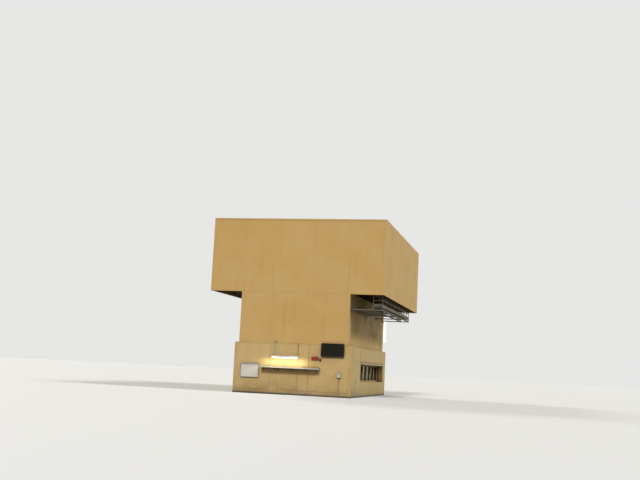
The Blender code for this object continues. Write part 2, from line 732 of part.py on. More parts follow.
def hinge_halves(side, level, direction):
    """One half of a hinge: a knuckle on the axis, its strap and the pad that is welded on."""
    x, y = hinge_axis(side)
    face = BASE_WIDTH / 2
    clear = HINGE_STANDOFF - HINGE_RADIUS
    base = level if direction > 0 else level - HINGE_HEIGHT - SEAT
    lift = HINGE_HEIGHT / 8
    strap_z = (base + lift, base + HINGE_HEIGHT - lift)
    knuckle = rod((x, y, base), (x, y, base + HINGE_HEIGHT), HINGE_RADIUS)
    strap = block(across(side, face + clear, face + clear + HINGE_STRAP_THICKNESS),
                  sorted((y, y + direction * HINGE_STRAP)), strap_z)
    pad = block(across(side, face - PANEL / 2, face + 2 * clear),
                sorted((y + direction * HINGE_STRAP / 2, y + direction * (HINGE_STRAP - lift))),
                (strap_z[0] + clear, strap_z[1] - clear))
    return [knuckle, strap, pad]


def make_base_sides(cream):
    half = BASE_WIDTH / 2
    y = (FRONT + PANEL + SEAT, BODY_FAR - PANEL - SEAT)
    door_low, door_high = door_span()
    opening_y = about(PRESS_Y, OPENING_LENGTH / 2)
    for name, side in SIDES.items():
        wall = block(across(side, half - PANEL, half), y, (0, BASE_TOP))
        inner_y = (y[0] + FLANGE_DEPTH, y[1] - FLANGE_DEPTH)
        carrier = block(across(side, BODY_WIDTH / 2 - PANEL, half - PANEL / 2), inner_y,
                        (BASE_TOP - FLANGE, BASE_TOP))
        covers = [block(across(side, half - PANEL / 2, half + COVER),
                        (HEAD_FRONT + a, HEAD_FRONT + b), (SIDE_COVER_BOTTOM, COVER_TOP))
                  for a, b in SIDE_COVERS]
        collar = block(across(side, BODY_WIDTH / 2 - PANEL + SEAT, half - PANEL / 2),
                       about(PRESS_Y, OPENING_LENGTH / 2 + REVEAL),
                       (OPENING_BOTTOM - REVEAL, OPENING_TOP + REVEAL))
        ledge = block(across(side, half - PANEL / 2, half + LEDGE_REACH),
                      about(PRESS_Y, OPENING_LENGTH / 2 + REVEAL),
                      (OPENING_TOP, OPENING_TOP + LEDGE_HEIGHT))
        halves = [part for level in HINGE_LEVELS for part in hinge_halves(side, level, -1)]
        opening = block(across(side, 0, HEAD_WIDTH), opening_y, (OPENING_BOTTOM, OPENING_TOP))
        doorway = block(across(side, 0, HEAD_WIDTH), (door_low, door_high),
                        (DOOR_BOTTOM, DOOR_TOP))
        base = piece(f"base_side_{name}", wall, cream, join=[carrier, collar, ledge, *covers],
                     cut=[opening, doorway])
        boolean(base, "UNION", halves)


def make_service_doors(cream):
    half = BASE_WIDTH / 2
    low, high = door_span()
    leaf_y = (low + DOOR_GAP, high - DOOR_GAP)
    for name, side in SIDES.items():
        leaf = block(across(side, half - PANEL, half), leaf_y,
                     (DOOR_BOTTOM + DOOR_GAP, DOOR_TOP - DOOR_GAP))
        halves = [part for level in HINGE_LEVELS for part in hinge_halves(side, level, 1)]
        bar_x, bar_y = side * (half + HANDLE_STANDOFF), leaf_y[1] - HANDLE_INSET
        ends = about(HANDLE_HEIGHT, HANDLE_LENGTH / 2)
        bar = rod((bar_x, bar_y, ends[0] - 2 * HANDLE_RADIUS),
                  (bar_x, bar_y, ends[1] + 2 * HANDLE_RADIUS), HANDLE_RADIUS, SMALL_SIDES)
        stems = [rod((side * (half - PANEL / 2), bar_y, z), (bar_x, bar_y, z),
                     0.8 * HANDLE_RADIUS, SMALL_SIDES) for z in ends]
        door = piece(f"service_door_{name}", leaf, cream, join=[*halves, *stems, bar])
        axis_x, axis_y = hinge_axis(side)
        door.data.transform(Matrix.Translation((-axis_x, -axis_y, 0)))
        door.location = (axis_x, axis_y, 0)
        tool = door.modifiers[0].object
        tool.parent = door
        tool.matrix_parent_inverse = Matrix.Translation((-axis_x, -axis_y, 0))


def gate_windows():
    inside = GATE_LENGTH - 2 * WINDOW_MARGIN
    width = (inside - (WINDOW_COUNT - 1) * MULLION) / WINDOW_COUNT
    starts = [-inside / 2 + index * (width + MULLION) for index in range(WINDOW_COUNT)]
    return [(PRESS_Y + start, PRESS_Y + start + width) for start in starts]


def lift_axis(side):
    """The gate cylinder's axis, beside the near guide and clear of the upright."""
    return (side * (GATE_INNER - LIFT_FROM_GATE),
            PRESS_Y - GATE_LENGTH / 2 + LIFT_FROM_END)


def make_gates(cream, glass):
    gate_y = about(PRESS_Y, GATE_LENGTH / 2)
    gate_z = (GATE_BOTTOM, GATE_BOTTOM + GATE_HEIGHT)
    outer = GATE_INNER + GATE_THICKNESS
    for name, side in SIDES.items():
        x, y = lift_axis(side)
        lug_z = (gate_z[1] - LIFT_BRACKET, gate_z[1])
        lug = block(across(side, abs(x) - LIFT_RADIUS, GATE_INNER + GATE_THICKNESS / 2),
                    about(y, LIFT_RADIUS), lug_z)
        lift_rod = rod((x, y, LIFT_BOTTOM + LIFT_BRACKET),
                       (x, y, gate_z[1] - LIFT_BRACKET / 2), LIFT_ROD)
        holes = [block(across(side, 0, HEAD_WIDTH), span, (WINDOW_BOTTOM, WINDOW_TOP))
                 for span in gate_windows()]
        frame = block(across(side, GATE_INNER, outer), gate_y, gate_z)
        gate = piece(f"gate_{name}", frame, cream, cut=holes)
        boolean(gate, "UNION", [lug, lift_rod])
        glass_y = (gate_windows()[0][0] - GLASS_OVERLAP, gate_windows()[-1][1] + GLASS_OVERLAP)
        glass_x = across(side, GATE_INNER - SEAT - GLASS_THICKNESS, GATE_INNER - SEAT)
        pane = block(glass_x, glass_y, (WINDOW_BOTTOM - GLASS_OVERLAP, WINDOW_TOP + GLASS_OVERLAP))
        piece(f"gate_window_{name}", pane, glass)


def make_gate_guides(steel, painted):
    inner = GATE_INNER - GATE_PLAY
    outer = GATE_INNER + GATE_THICKNESS + GATE_PLAY
    wall = BODY_WIDTH / 2 - PANEL - SEAT
    for end, sign in ENDS.items():
        edge = GATE_LENGTH / 2
        lip, web, back = edge - GUIDE_LIP, edge + GATE_PLAY, edge + GATE_PLAY + GUIDE_WEB
        for name, side in SIDES.items():
            channel = [(inner - GUIDE_FLANGE, lip), (inner, lip), (inner, web), (outer, web),
                       (outer, lip), (wall, lip), (wall, back), (inner - GUIDE_FLANGE, back)]
            outline = [(side * a, PRESS_Y + sign * b) for a, b in channel]
            stop = block(across(side, inner - GUIDE_FLANGE / 2, outer + GUIDE_FLANGE / 2),
                         sorted((PRESS_Y + sign * (lip + SEAT), PRESS_Y + sign * (web + SEAT))),
                         (GATE_BOTTOM - LIFT_BRACKET, GATE_BOTTOM - SEAT))
            piece(f"gate_guide_{end}_{name}", profile(outline, "XY", 0, GUIDE_TOP), steel,
                  join=[stop])
    top = GATE_BOTTOM + GATE_HEIGHT - LIFT_BRACKET - SEAT
    outline = [(0, LIFT_BOTTOM), (LIFT_BORE, LIFT_BOTTOM), (LIFT_BORE, top), (LIFT_RADIUS, top),
               (LIFT_RADIUS, 0), (0, 0)]
    for name, side in SIDES.items():
        x, y = lift_axis(side)
        turned(f"gate_cylinder_{name}", outline, painted).location = (x, y, 0)


def make_hydraulics(machine):
    floor = FLOOR_TOP + SEAT
    tank_y = (HEAD_FAR - TANK_FROM_FAR - TANK_LENGTH, HEAD_FAR - TANK_FROM_FAR)
    tank_top = floor + TANK_HEIGHT
    tank = block(about(0, TANK_WIDTH / 2), tank_y, (floor, tank_top))
    rim = block(about(0, TANK_WIDTH / 2 + PANEL), (tank_y[0] - PANEL, tank_y[1] + PANEL),
                (tank_top - FLANGE, tank_top + FLANGE))
    ribs = [block(about(x, FLANGE / 2), (tank_y[0] - PANEL, tank_y[1] + PANEL),
                  (floor + FLANGE, tank_top)) for x in spread(-TANK_WIDTH / 3, TANK_WIDTH / 3, TANK_RIBS)]
    hatch = rod((0, sum(tank_y) / 2, tank_top), (0, sum(tank_y) / 2, tank_top + 2 * FLANGE),
                TANK_LENGTH / 5, TURNED_STEPS)
    piece("oil_tank", tank, machine, join=[rim, *ribs, hatch])

    axis_z = floor + MOTOR_RADIUS + 2 * PANEL
    start = tank_y[0] - PUMP_FROM_TANK - MOTOR_LENGTH
    for name, side in SIDES.items():
        x = side * PUMP_X
        frame = block(about(x, MOTOR_RADIUS), (start - MOTOR_LENGTH / 2, start + MOTOR_LENGTH),
                      (floor, floor + PANEL))
        feet = [block(about(x, MOTOR_RADIUS / 2), about(start + share * MOTOR_LENGTH, PANEL),
                      (floor + PANEL / 2, axis_z)) for share in (-0.3, 0.25, 0.75)]
        motor = rod((x, start, axis_z), (x, start + MOTOR_LENGTH, axis_z), MOTOR_RADIUS,
                    TURNED_STEPS)
        bell = rod((x, start - MOTOR_LENGTH / 5, axis_z), (x, start + PANEL, axis_z),
                   MOTOR_RADIUS * 0.6)
        pump = rod((x, start - MOTOR_LENGTH / 2, axis_z), (x, start, axis_z), MOTOR_RADIUS * 0.4)
        piece(f"pump_unit_{name}", frame, machine, join=[*feet, motor, bell, pump])

    cylinders = list(ram_places().values())
    far = tank_y[0] - PUMP_FROM_TANK
    feed = rod((0, cylinders[0], PIPE_HEIGHT), (0, far, PIPE_HEIGHT), PIPE_RADIUS)
    drops = [rod((0, y, CYLINDER_TOP + SEAT), (0, y, PIPE_HEIGHT + PIPE_RADIUS), 1.2 * PIPE_RADIUS)
             for y in cylinders]
    flanges = [rod((0, y, CYLINDER_TOP + SEAT), (0, y, CYLINDER_TOP + FLANGE), 2.2 * PIPE_RADIUS)
               for y in cylinders]
    riser = rod((0, far, floor), (0, far, PIPE_HEIGHT + PIPE_RADIUS), 1.2 * PIPE_RADIUS)
    piece("pressure_pipe", feed, machine, join=[*drops, *flanges, riser])


def gangway_y():
    return HEAD_FRONT + GANGWAY_START, HEAD_FRONT + GANGWAY_END


def make_gangway_deck(steel):
    start, end = gangway_y()
    wall = BODY_WIDTH / 2 + SEAT
    low_z = (GANGWAY_BOTTOM, GANGWAY_BOTTOM + CHORD)
    high_z = (DECK_TOP - DECK_CHORD, DECK_TOP)
    inner = (GANGWAY_INNER, GANGWAY_INNER + CHORD)
    outer = (GANGWAY_OUTER - CHORD, GANGWAY_OUTER)
    chords = [block(x, (start, end), z) for x in (inner, outer) for z in (low_z, high_z)]
    struts = []
    count = round((end - start) / STRUT_SPACING)
    for x in (inner, outer):
        for y in spread(start + STRUT / 2 + SEAT, end - STRUT / 2 - SEAT, count):
            middle = sum(x) / 2
            struts.append(block(about(middle, STRUT / 2), about(y, STRUT / 2),
                                (low_z[0] + CHORD / 2, high_z[1] - CHORD / 2)))
    arms = [block((wall, GANGWAY_OUTER - CHORD / 2), about(y, CHORD / 2),
                  (low_z[0] + 2 * SEAT, low_z[1] - 2 * SEAT))
            for y in spread(start + CHORD / 2 + 2 * SEAT, end - CHORD / 2 - 2 * SEAT, BRACKETS)]
    landing = block((wall, inner[0] + CHORD / 2), (start + SEAT, HEAD_FRONT + LANDING_END),
                    (low_z[0] + 4 * SEAT, low_z[0] + LANDING_PLATE))
    grating = block((inner[1] - CHORD / 2, outer[0] + CHORD / 2),
                    (start + 3 * SEAT, end - 3 * SEAT),
                    (DECK_TOP - CHORD - GRATING_THICKNESS, DECK_TOP - CHORD))
    rows = round((end - start) / GRATING_PITCH)
    pitch = (end - start) / rows
    gaps = [block((inner[1] + GRATING_EDGE, outer[0] - GRATING_EDGE),
                  about(start + (index + 0.5) * pitch, (pitch - GRATING_BAR) / 2),
                  (DECK_TOP - 2 * DECK_CHORD, DECK_TOP + DECK_CHORD)) for index in range(rows)]
    deck = piece("gangway_deck", grating, steel, cut=gaps)
    boolean(deck, "UNION", [*chords, *struts, *arms, landing])


def make_gangway_railing(steel):
    start, end = gangway_y()
    x_out = GANGWAY_OUTER - CHORD / 2
    x_in = GANGWAY_INNER + CHORD / 2
    foot, top = DECK_TOP + SEAT, RAIL_LEVELS[-1]
    first, last = start + CHORD, end - CHORD
    count = round((last - first) / POST_SPACING) + 1
    posts = [rod((x_out, y, foot), (x_out, y, top), RAIL_RADIUS, SMALL_SIDES)
             for y in spread(first, last, count)]
    posts += [rod((x_in, y, foot), (x_in, y, top), RAIL_RADIUS, SMALL_SIDES)
              for y in (first, last)]
    rails = []
    for z in RAIL_LEVELS:
        rails.append(rod((x_out, first - RAIL_RADIUS, z), (x_out, last + RAIL_RADIUS, z),
                         RAIL_RADIUS, SMALL_SIDES))
        rails += [rod((x_in - RAIL_RADIUS, y, z), (x_out + RAIL_RADIUS, y, z),
                      RAIL_RADIUS * 0.9, SMALL_SIDES) for y in (first, last)]
    piece("gangway_railing", rails[0], steel, join=[*posts, *rails[1:]])


def rounded(left, bottom, width, height, radius, steps=4):
    """The outline of an upright rectangle with round corners."""
    points = []
    centres = ((left + width - radius, bottom + height - radius, 0),
               (left + radius, bottom + height - radius, 90),
               (left + radius, bottom + radius, 180),
               (left + width - radius, bottom + radius, 270))
    for x, z, begin in centres:
        for step in range(steps + 1):
            angle = math.radians(begin + 90 * step / steps)
            points.append((x + radius * math.cos(angle), z + radius * math.sin(angle)))
    return points


def make_screen(dark):
    right, top = SCREEN_LEFT + SCREEN_WIDTH, SCREEN_BOTTOM + SCREEN_HEIGHT
    back = FITTING_Y - SCREEN_STANDOFF
    case_y = (back - SCREEN_DEPTH, back)
    case = block((SCREEN_LEFT, right), case_y, (SCREEN_BOTTOM, top))
    middle = (SCREEN_LEFT + right) / 2
    arm_z = about((SCREEN_BOTTOM + COVER_TOP) / 2, SCREEN_HEIGHT / 6)
    bracket = block(about(middle, SCREEN_WIDTH / 6), (back - SCREEN_DEPTH / 2, FITTING_Y), arm_z)
    glass = block((SCREEN_LEFT + SCREEN_BEZEL, right - SCREEN_BEZEL),
                  (case_y[0] - 1, case_y[0] + SCREEN_BEZEL / 4),
                  (SCREEN_BOTTOM + SCREEN_BEZEL, top - SCREEN_BEZEL))
    piece("display_screen", case, dark, join=[bracket], cut=[glass])


def make_sign_and_board(red, white):
    outline = rounded(SIGN_LEFT, SIGN_BOTTOM, SIGN_WIDTH, SIGN_HEIGHT, SIGN_CORNER)
    piece("red_sign", profile(outline, "XZ", FITTING_Y - SIGN_DEPTH, FITTING_Y), red)
    board_y = (FITTING_Y - BOARD_DEPTH, FITTING_Y)
    right, top = BOARD_LEFT + BOARD_WIDTH, BOARD_BOTTOM + BOARD_HEIGHT
    field = block((BOARD_LEFT + BOARD_FRAME, right - BOARD_FRAME),
                  (board_y[0] - 1, board_y[0] + BOARD_DEPTH / 4),
                  (BOARD_BOTTOM + BOARD_FRAME, top - BOARD_FRAME))
    board = block((BOARD_LEFT, right), board_y, (BOARD_BOTTOM, top))
    piece("notice_board", board, white, cut=[field])


def make_shelf(grey):
    outer, low = FRONT - SHELF_REACH, SHELF_TOP - SHELF_LIP
    under = SHELF_TOP - SHELF_SHEET
    folded = [(FITTING_Y, SHELF_TOP), (outer, SHELF_TOP), (outer, low),
              (outer + SHELF_SHEET, low), (outer + SHELF_SHEET, under),
              (FITTING_Y - SHELF_SHEET, under), (FITTING_Y - SHELF_SHEET, low),
              (FITTING_Y, low)]
    right = SHELF_LEFT + SHELF_WIDTH
    gusset = [(FITTING_Y, under + SHELF_SHEET / 2), (outer + SHELF_LIP, under + SHELF_SHEET / 2),
              (FITTING_Y - SHELF_SHEET, SHELF_TOP - GUSSET_HEIGHT),
              (FITTING_Y, SHELF_TOP - GUSSET_HEIGHT)]
    plates = [profile(gusset, "YZ", x - GUSSET_THICKNESS / 2, x + GUSSET_THICKNESS / 2)
              for x in spread(SHELF_LEFT + SHELF_LIP, right - SHELF_LIP, SHELF_GUSSETS)]
    piece("shelf", profile(folded, "YZ", SHELF_LEFT, right), grey, join=plates)


def make_work_lamp(white, glow):
    right = LAMP_LEFT + LAMP_LENGTH
    top = LAMP_BOTTOM + LAMP_HEIGHT
    out = FITTING_Y - LAMP_DEPTH
    hood = [(FITTING_Y, top), (FITTING_Y - LAMP_DEPTH / 3, top), (out, LAMP_BOTTOM + SOCKET),
            (out, LAMP_BOTTOM), (FITTING_Y, LAMP_BOTTOM)]
    tube_y, tube_z = FITTING_Y - LAMP_DEPTH / 2, LAMP_BOTTOM - TUBE_DROP
    sockets = [block((x - SOCKET / 2, x + SOCKET / 2), about(tube_y, SOCKET * 0.7),
                     (tube_z - SOCKET, LAMP_BOTTOM + SOCKET / 2))
               for x in (LAMP_LEFT + SOCKET / 2, right - SOCKET / 2)]
    conduit = rod((CONDUIT_X, FITTING_Y - CONDUIT_RADIUS, top - SOCKET),
                  (CONDUIT_X, FITTING_Y - CONDUIT_RADIUS, CONDUIT_TOP), CONDUIT_RADIUS,
                  SMALL_SIDES)
    piece("work_lamp", profile(hood, "YZ", LAMP_LEFT, right), white, join=[*sockets, conduit])
    tube = rod((LAMP_LEFT + SOCKET + SEAT, tube_y, tube_z), (right - SOCKET - SEAT, tube_y, tube_z),
               TUBE_RADIUS)
    piece("work_lamp_tube", tube, glow)


def make_corner_lamp(white, glow):
    low, high = CORNER_LAMP_BOTTOM, CORNER_LAMP_BOTTOM + CORNER_LAMP_LENGTH
    wall = BODY_WIDTH / 2 + SEAT
    inner = wall + CORNER_LAMP_STANDOFF
    y = (BODY_FAR - CORNER_LAMP_FROM_FAR - LAMP_HEIGHT, BODY_FAR - CORNER_LAMP_FROM_FAR)
    housing = block((inner, inner + CORNER_LAMP_WIDTH), y, (low, high))
    arms = [block((wall, inner + SOCKET), about(sum(y) / 2, SOCKET), about(z, SOCKET))
            for z in (low + LAMP_DEPTH, high - LAMP_DEPTH)]
    tube_x, tube_y = inner + CORNER_LAMP_WIDTH / 2, y[0] - TUBE_DROP
    sockets = [block(about(tube_x, SOCKET * 0.7), (tube_y - SOCKET, y[0] + SOCKET / 2),
                     (z - SOCKET / 2, z + SOCKET / 2)) for z in (low + SOCKET / 2, high - SOCKET / 2)]
    piece("corner_lamp", housing, white, join=[*arms, *sockets])
    tube = rod((tube_x, tube_y, low + SOCKET + SEAT), (tube_x, tube_y, high - SOCKET - SEAT),
               TUBE_RADIUS)
    piece("corner_lamp_tube", tube, glow)


def make_stop_control(grey, red):
    right, top = CONTROL_LEFT + CONTROL_WIDTH, CONTROL_BOTTOM + CONTROL_HEIGHT
    face = FITTING_Y - CONTROL_DEPTH
    x, z = (CONTROL_LEFT + right) / 2, top - BUTTON_FROM_TOP
    outline = rounded(CONTROL_LEFT, CONTROL_BOTTOM, CONTROL_WIDTH, CONTROL_HEIGHT,
                      SIGN_CORNER / 2)
    hole = rod((x, face - 1, z), (x, face + BUTTON_DEPTH + BUTTON_TRAVEL, z),
               BUTTON_STEM + BUTTON_PLAY, TURNED_STEPS)
    piece("control_box", profile(outline, "XZ", face, FITTING_Y), grey, cut=[hole])
    outside = BUTTON_TRAVEL + 2 * SEAT
    mushroom = [(0, outside + BUTTON_HEAD), (BUTTON_RADIUS * 0.6, outside + BUTTON_HEAD),
                (BUTTON_RADIUS * 0.9, outside + BUTTON_HEAD * 0.7),
                (BUTTON_RADIUS, outside + BUTTON_HEAD * 0.35), (BUTTON_RADIUS, outside),
                (BUTTON_STEM, outside), (BUTTON_STEM, -BUTTON_DEPTH), (0, -BUTTON_DEPTH)]
    button = turned("stop_button", mushroom, red)
    button.location = (x, face, z)
    button.rotation_euler.x = math.radians(90)


def make_press():
    empty_scene()
    cream = paint("cream_paint", (0.62, 0.44, 0.19), 0.45)
    frame_green = paint("frame_paint", (0.16, 0.2, 0.19), 0.5)
    steel = paint("machined_steel", (0.45, 0.45, 0.46), 0.35, 1)
    chrome = paint("polished_rod", (0.8, 0.8, 0.8), 0.1, 1)
    dark_steel = paint("dark_steel", (0.07, 0.075, 0.08), 0.55)
    grey = paint("light_grey_paint", (0.5, 0.5, 0.47), 0.5)
    machine = paint("hydraulic_grey", (0.2, 0.24, 0.26), 0.5)
    glass = paint("window_glass", (0.05, 0.06, 0.06), 0.05)
    black = paint("black_plastic", (0.01, 0.01, 0.012), 0.3)
    red = paint("red_plastic", (0.5, 0.02, 0.03), 0.4)
    white = paint("white_enamel", (0.8, 0.8, 0.78), 0.4)
    glow = paint("lamp_tube", (1, 0.95, 0.85), 0.3)
    make_bed(frame_green)
    make_uprights(frame_green)
    make_crown(frame_green)
    make_tie_rods(steel)
    make_bolster(steel)
    make_slide(frame_green)
    make_main_cylinders(machine, chrome)
    make_cushion(machine, steel)
    make_head_floor(dark_steel)
    make_fascias(cream)
    make_roof(cream)
    make_body_panels(cream)
    make_base_ends(cream)
    make_base_sides(cream)
    make_service_doors(cream)
    make_gates(cream, glass)
    make_gate_guides(dark_steel, machine)
    make_hydraulics(machine)
    make_gangway_deck(dark_steel)
    make_gangway_railing(dark_steel)
    make_screen(black)
    make_sign_and_board(red, white)
    make_shelf(grey)
    make_work_lamp(white, glow)
    make_corner_lamp(white, glow)
    make_stop_control(grey, red)


make_press()
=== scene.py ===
# %% [markdown]
# The hydraulic press: loading the solids
#
# The object is an enclosed hydraulic press, as high as a house. Its solids come from the imported CAD model.
# This script gives each one a finish, and adds the thin trim and small fasteners that are too fine for the
# solids.

# %% Load the solids
import math

import bmesh
import bpy
from mathutils import Matrix, Vector


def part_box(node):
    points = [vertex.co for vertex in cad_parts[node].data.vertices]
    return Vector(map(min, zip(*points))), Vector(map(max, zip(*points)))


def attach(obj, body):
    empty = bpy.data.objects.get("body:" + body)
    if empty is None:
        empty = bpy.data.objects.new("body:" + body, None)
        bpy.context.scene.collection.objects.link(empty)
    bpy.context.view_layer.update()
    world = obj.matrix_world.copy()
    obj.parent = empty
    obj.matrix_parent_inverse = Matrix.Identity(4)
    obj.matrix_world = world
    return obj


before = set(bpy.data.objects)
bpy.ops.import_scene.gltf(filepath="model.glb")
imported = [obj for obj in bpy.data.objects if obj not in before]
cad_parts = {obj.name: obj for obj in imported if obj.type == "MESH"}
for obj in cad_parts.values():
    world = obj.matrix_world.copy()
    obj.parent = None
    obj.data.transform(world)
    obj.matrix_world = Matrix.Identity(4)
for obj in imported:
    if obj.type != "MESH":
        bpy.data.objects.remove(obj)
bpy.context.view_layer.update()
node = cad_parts
show = bpy.context.scene.collection.objects.link

# %% [markdown]
# The camera
#
# The photo was taken from a gallery rail across the hall, with a long lens and a small roll. A camera can be
# placed by eye, but here its place and its three angles were fitted to the long edges of the head, so that
# every part falls on its own place in the picture.

# %% Camera
CAMERA_PLACE = Vector((14.682, -63.392, 1.65))
CAMERA_YAW, CAMERA_PITCH, CAMERA_ROLL = (math.radians(a) for a in (-13.432, 8.004, 2.748))
SENSOR_WIDTH, LENS = 36, 51.75

ahead = Vector((math.sin(CAMERA_YAW) * math.cos(CAMERA_PITCH),
                math.cos(CAMERA_YAW) * math.cos(CAMERA_PITCH), math.sin(CAMERA_PITCH)))
level_right = Vector((math.cos(CAMERA_YAW), -math.sin(CAMERA_YAW), 0))
level_up = level_right.cross(ahead)
right = level_right * math.cos(CAMERA_ROLL) + level_up * math.sin(CAMERA_ROLL)
up = level_up * math.cos(CAMERA_ROLL) - level_right * math.sin(CAMERA_ROLL)

camera = bpy.data.objects.new("camera", bpy.data.cameras.new("camera"))
camera.data.sensor_width, camera.data.lens = SENSOR_WIDTH, LENS
camera.data.clip_start, camera.data.clip_end = 1, 500
camera.matrix_world = Matrix.Translation(CAMERA_PLACE) @ Matrix((right, up, -ahead)).transposed().to_4x4()
show(camera)
bpy.context.scene.camera = camera
print("camera looks along", tuple(round(v, 3) for v in ahead))

# %% [markdown]
# Small steps that build a material
#
# Written out node by node, a procedural material is long and hard to follow. Each helper here adds one or two
# nodes to the newest tree and gives back the output socket, so that a material reads as a formula.


# %% Material helpers
def srgb(*parts):
    """A colour read from a picture, 0 to 255, as the linear colour that shaders want."""
    shares = [part / 255 for part in parts]
    return (*(v / 12.92 if v <= 0.04045 else ((v + 0.055) / 1.055) ** 2.4 for v in shares), 1.0)


tree = None


def work_in(new_tree):
    """From here on the helpers work in this tree. Gives its nodes."""
    global tree
    tree = new_tree
    return tree.nodes


def new_material(name):
    """A material with one Principled shader. Gives the material and the shader."""
    material = bpy.data.materials.new(name)
    material.use_nodes = True
    return material, work_in(material.node_tree)["Principled BSDF"]


def put(socket, source):
    """Links a source to a socket, or sets the socket. Three numbers are a colour read from a picture."""
    if isinstance(source, bpy.types.NodeSocket):
        tree.links.new(source, socket)
    elif source is not None:
        socket.default_value = srgb(*source) if socket.type == "RGBA" and len(source) == 3 else source


def feed(target, **sources):
    """Feeds the named inputs of a node. A name has _ for a space."""
    for name, source in sources.items():
        put(target.inputs[name.replace("_", " ")], source)


def step(kind, *sources, **settings):
    """Adds one node, and feeds its inputs in order."""
    made = tree.nodes.new("ShaderNode" + kind)
    for key, value in settings.items():
        setattr(made, key, value)
    for place, source in enumerate(sources):
        put(made.inputs[place], source)
    return made


def math_step(operation, *sources):
    """One Math node, as its output socket."""
    return step("Math", *sources, operation=operation).outputs[0]


def times(first, second):
    """The product of two values."""
    return math_step("MULTIPLY", first, second)


def vector_step(operation, *sources):
    """One Vector Math node. Gives the vector, or the number where the operation makes one."""
    made = step("VectorMath", *sources, operation=operation)
    return made.outputs["Value" if operation == "DOT_PRODUCT" else "Vector"]


def noise(place, scale, detail=4.0, roughness=0.55):
    """A noise value at a place, in patches of 1 / scale metres."""
    made = step("TexNoise", place)
    feed(made, Scale=scale, Detail=detail, Roughness=roughness)
    return made.outputs["Fac"]


def between(value, low, high, to_low=0.0, to_high=1.0, smooth=True):
    """Spreads the values from low to high over to_low to to_high."""
    made = step("MapRange", value, low, high, to_low, to_high)
    made.interpolation_type = "SMOOTHSTEP" if smooth else "LINEAR"
    return made.outputs["Result"]


def mix(share, first, second):
    """Mixes two colours by a share from 0 to 1."""
    made = step("Mix", data_type="RGBA")
    for place, source in (("Factor", share), (6, first), (7, second)):
        put(made.inputs[place], source)
    return made.outputs[2]


def object_place():
    """The point on the object, in metres, in the press's own frame."""
    return step("TexCoord").outputs["Object"]


def split(vector):
    """The X, Y and Z outputs of a vector."""
    return step("SeparateXYZ", vector).outputs


def facing():
    """The direction that the surface faces."""
    return step("NewGeometry").outputs["Normal"]


# %% [markdown]
# Floor and light
#
# Broad suns stand for the hall's rows of lamps: one lights the near end, and one the long side, where the
# overhang's shadow ends halfway down the wall as in the photo. A weaker one lights the two far sides. A pale
# world fills the rest. It is brighter for the camera and for reflections than for the light that falls on
# the press, so the backdrop is pale and no colour is washed out. In the same way the floor throws back
# little light, as the dark hall floor does, though the camera sees it pale.

# %% Floor, world and suns
FLOOR_TONE, FLOOR_SEEN, WORLD_LIGHT = (0.60, 0.66), (0.3, 0.98), (0.24, 0.95)
FILL_COLOUR, BACKDROP_COLOUR = (0.86, 0.78, 0.58, 1), (0.84, 0.84, 0.83, 1)

floor_material, shader = new_material("studio_floor")
grain = between(noise(None, 0.4, 2.0, 0.5), 0, 1, *FLOOR_TONE, smooth=False)
seen = between(step("LightPath").outputs["Is Camera Ray"], 0, 1, *FLOOR_SEEN, smooth=False)
feed(shader, Base_Color=times(grain, seen), Roughness=0.9)

bm = bmesh.new()
bmesh.ops.create_grid(bm, x_segments=4, y_segments=4, size=400)
floor_mesh = bpy.data.meshes.new("studio_floor")
bm.to_mesh(floor_mesh)
bm.free()
floor_mesh.materials.append(floor_material)
floor = bpy.data.objects.new("studio_floor", floor_mesh)
show(floor)

world = bpy.data.worlds.new("studio")
bpy.context.scene.world = world
world.use_nodes = True
background = work_in(world.node_tree)["Background"]
rays = step("LightPath").outputs
seen = math_step("MAXIMUM", rays["Is Camera Ray"], rays["Is Glossy Ray"])
feed(background, Color=mix(rays["Is Camera Ray"], FILL_COLOUR, BACKDROP_COLOUR),
     Strength=between(seen, 0, 1, *WORLD_LIGHT, smooth=False))

SUNS = (("front_sun", (0.02, -0.75, 0.66), 2.09, (1.0, 0.985, 0.975)),
        ("side_sun", (0.72, -0.12, 0.66), 2.0, (0.94, 1.0, 1.05)),
        ("back_sun", (-0.62, 0.55, 0.50), 1.25, (1.0, 0.98, 0.95)))
SUN_WIDTH = math.radians(14)
for name, way, energy, colour in SUNS:
    lamp = bpy.data.objects.new(name, bpy.data.lights.new(name, "SUN"))
    lamp.data.energy, lamp.data.color, lamp.data.angle = energy, colour, SUN_WIDTH
    lamp.matrix_world = Vector(way).to_track_quat("Z", "Y").to_matrix().to_4x4()
    show(lamp)
bpy.context.scene.view_settings.view_transform = "Standard"
print("suns:", [sun[0] for sun in SUNS])

# %% [markdown]
# Shared effects as node groups
#
# Large painted sheets never have one colour: they fade in patches, run in streaks, gather dust where they
# face up, and darken in their corners with soot and painted shade. Each of these is one node group, built
# once and placed in every material with its own numbers. A group gives out only a mask, a value or a colour.
# The shader stays in the material, because the export reads it there.


# %% Group helpers
def new_group(name, inputs, outputs):
    """An empty node group with sockets of a kind and their titles. Gives what goes in and out."""
    group = bpy.data.node_groups.new(name, "ShaderNodeTree")
    for way, kinds in (("INPUT", inputs), ("OUTPUT", outputs)):
        for kind, *titles in kinds:
            for title in titles:
                group.interface.new_socket(title, in_out=way, socket_type="NodeSocket" + kind)
    nodes = work_in(group)
    return group, nodes.new("NodeGroupInput").outputs, nodes.new("NodeGroupOutput")


def add_group(group, **given):
    """Places a group in a material and feeds its inputs. Gives its outputs."""
    made = tree.nodes.new("ShaderNodeGroup")
    made.node_tree = group
    feed(made, **given)
    return made.outputs


# %% [markdown]
# Patches and streaks
#
# Two noises make the uneven tone of old paint. One has broad patches. The other is drawn out to long upright
# streaks, by scaling its coordinates less along the height than along the wall.

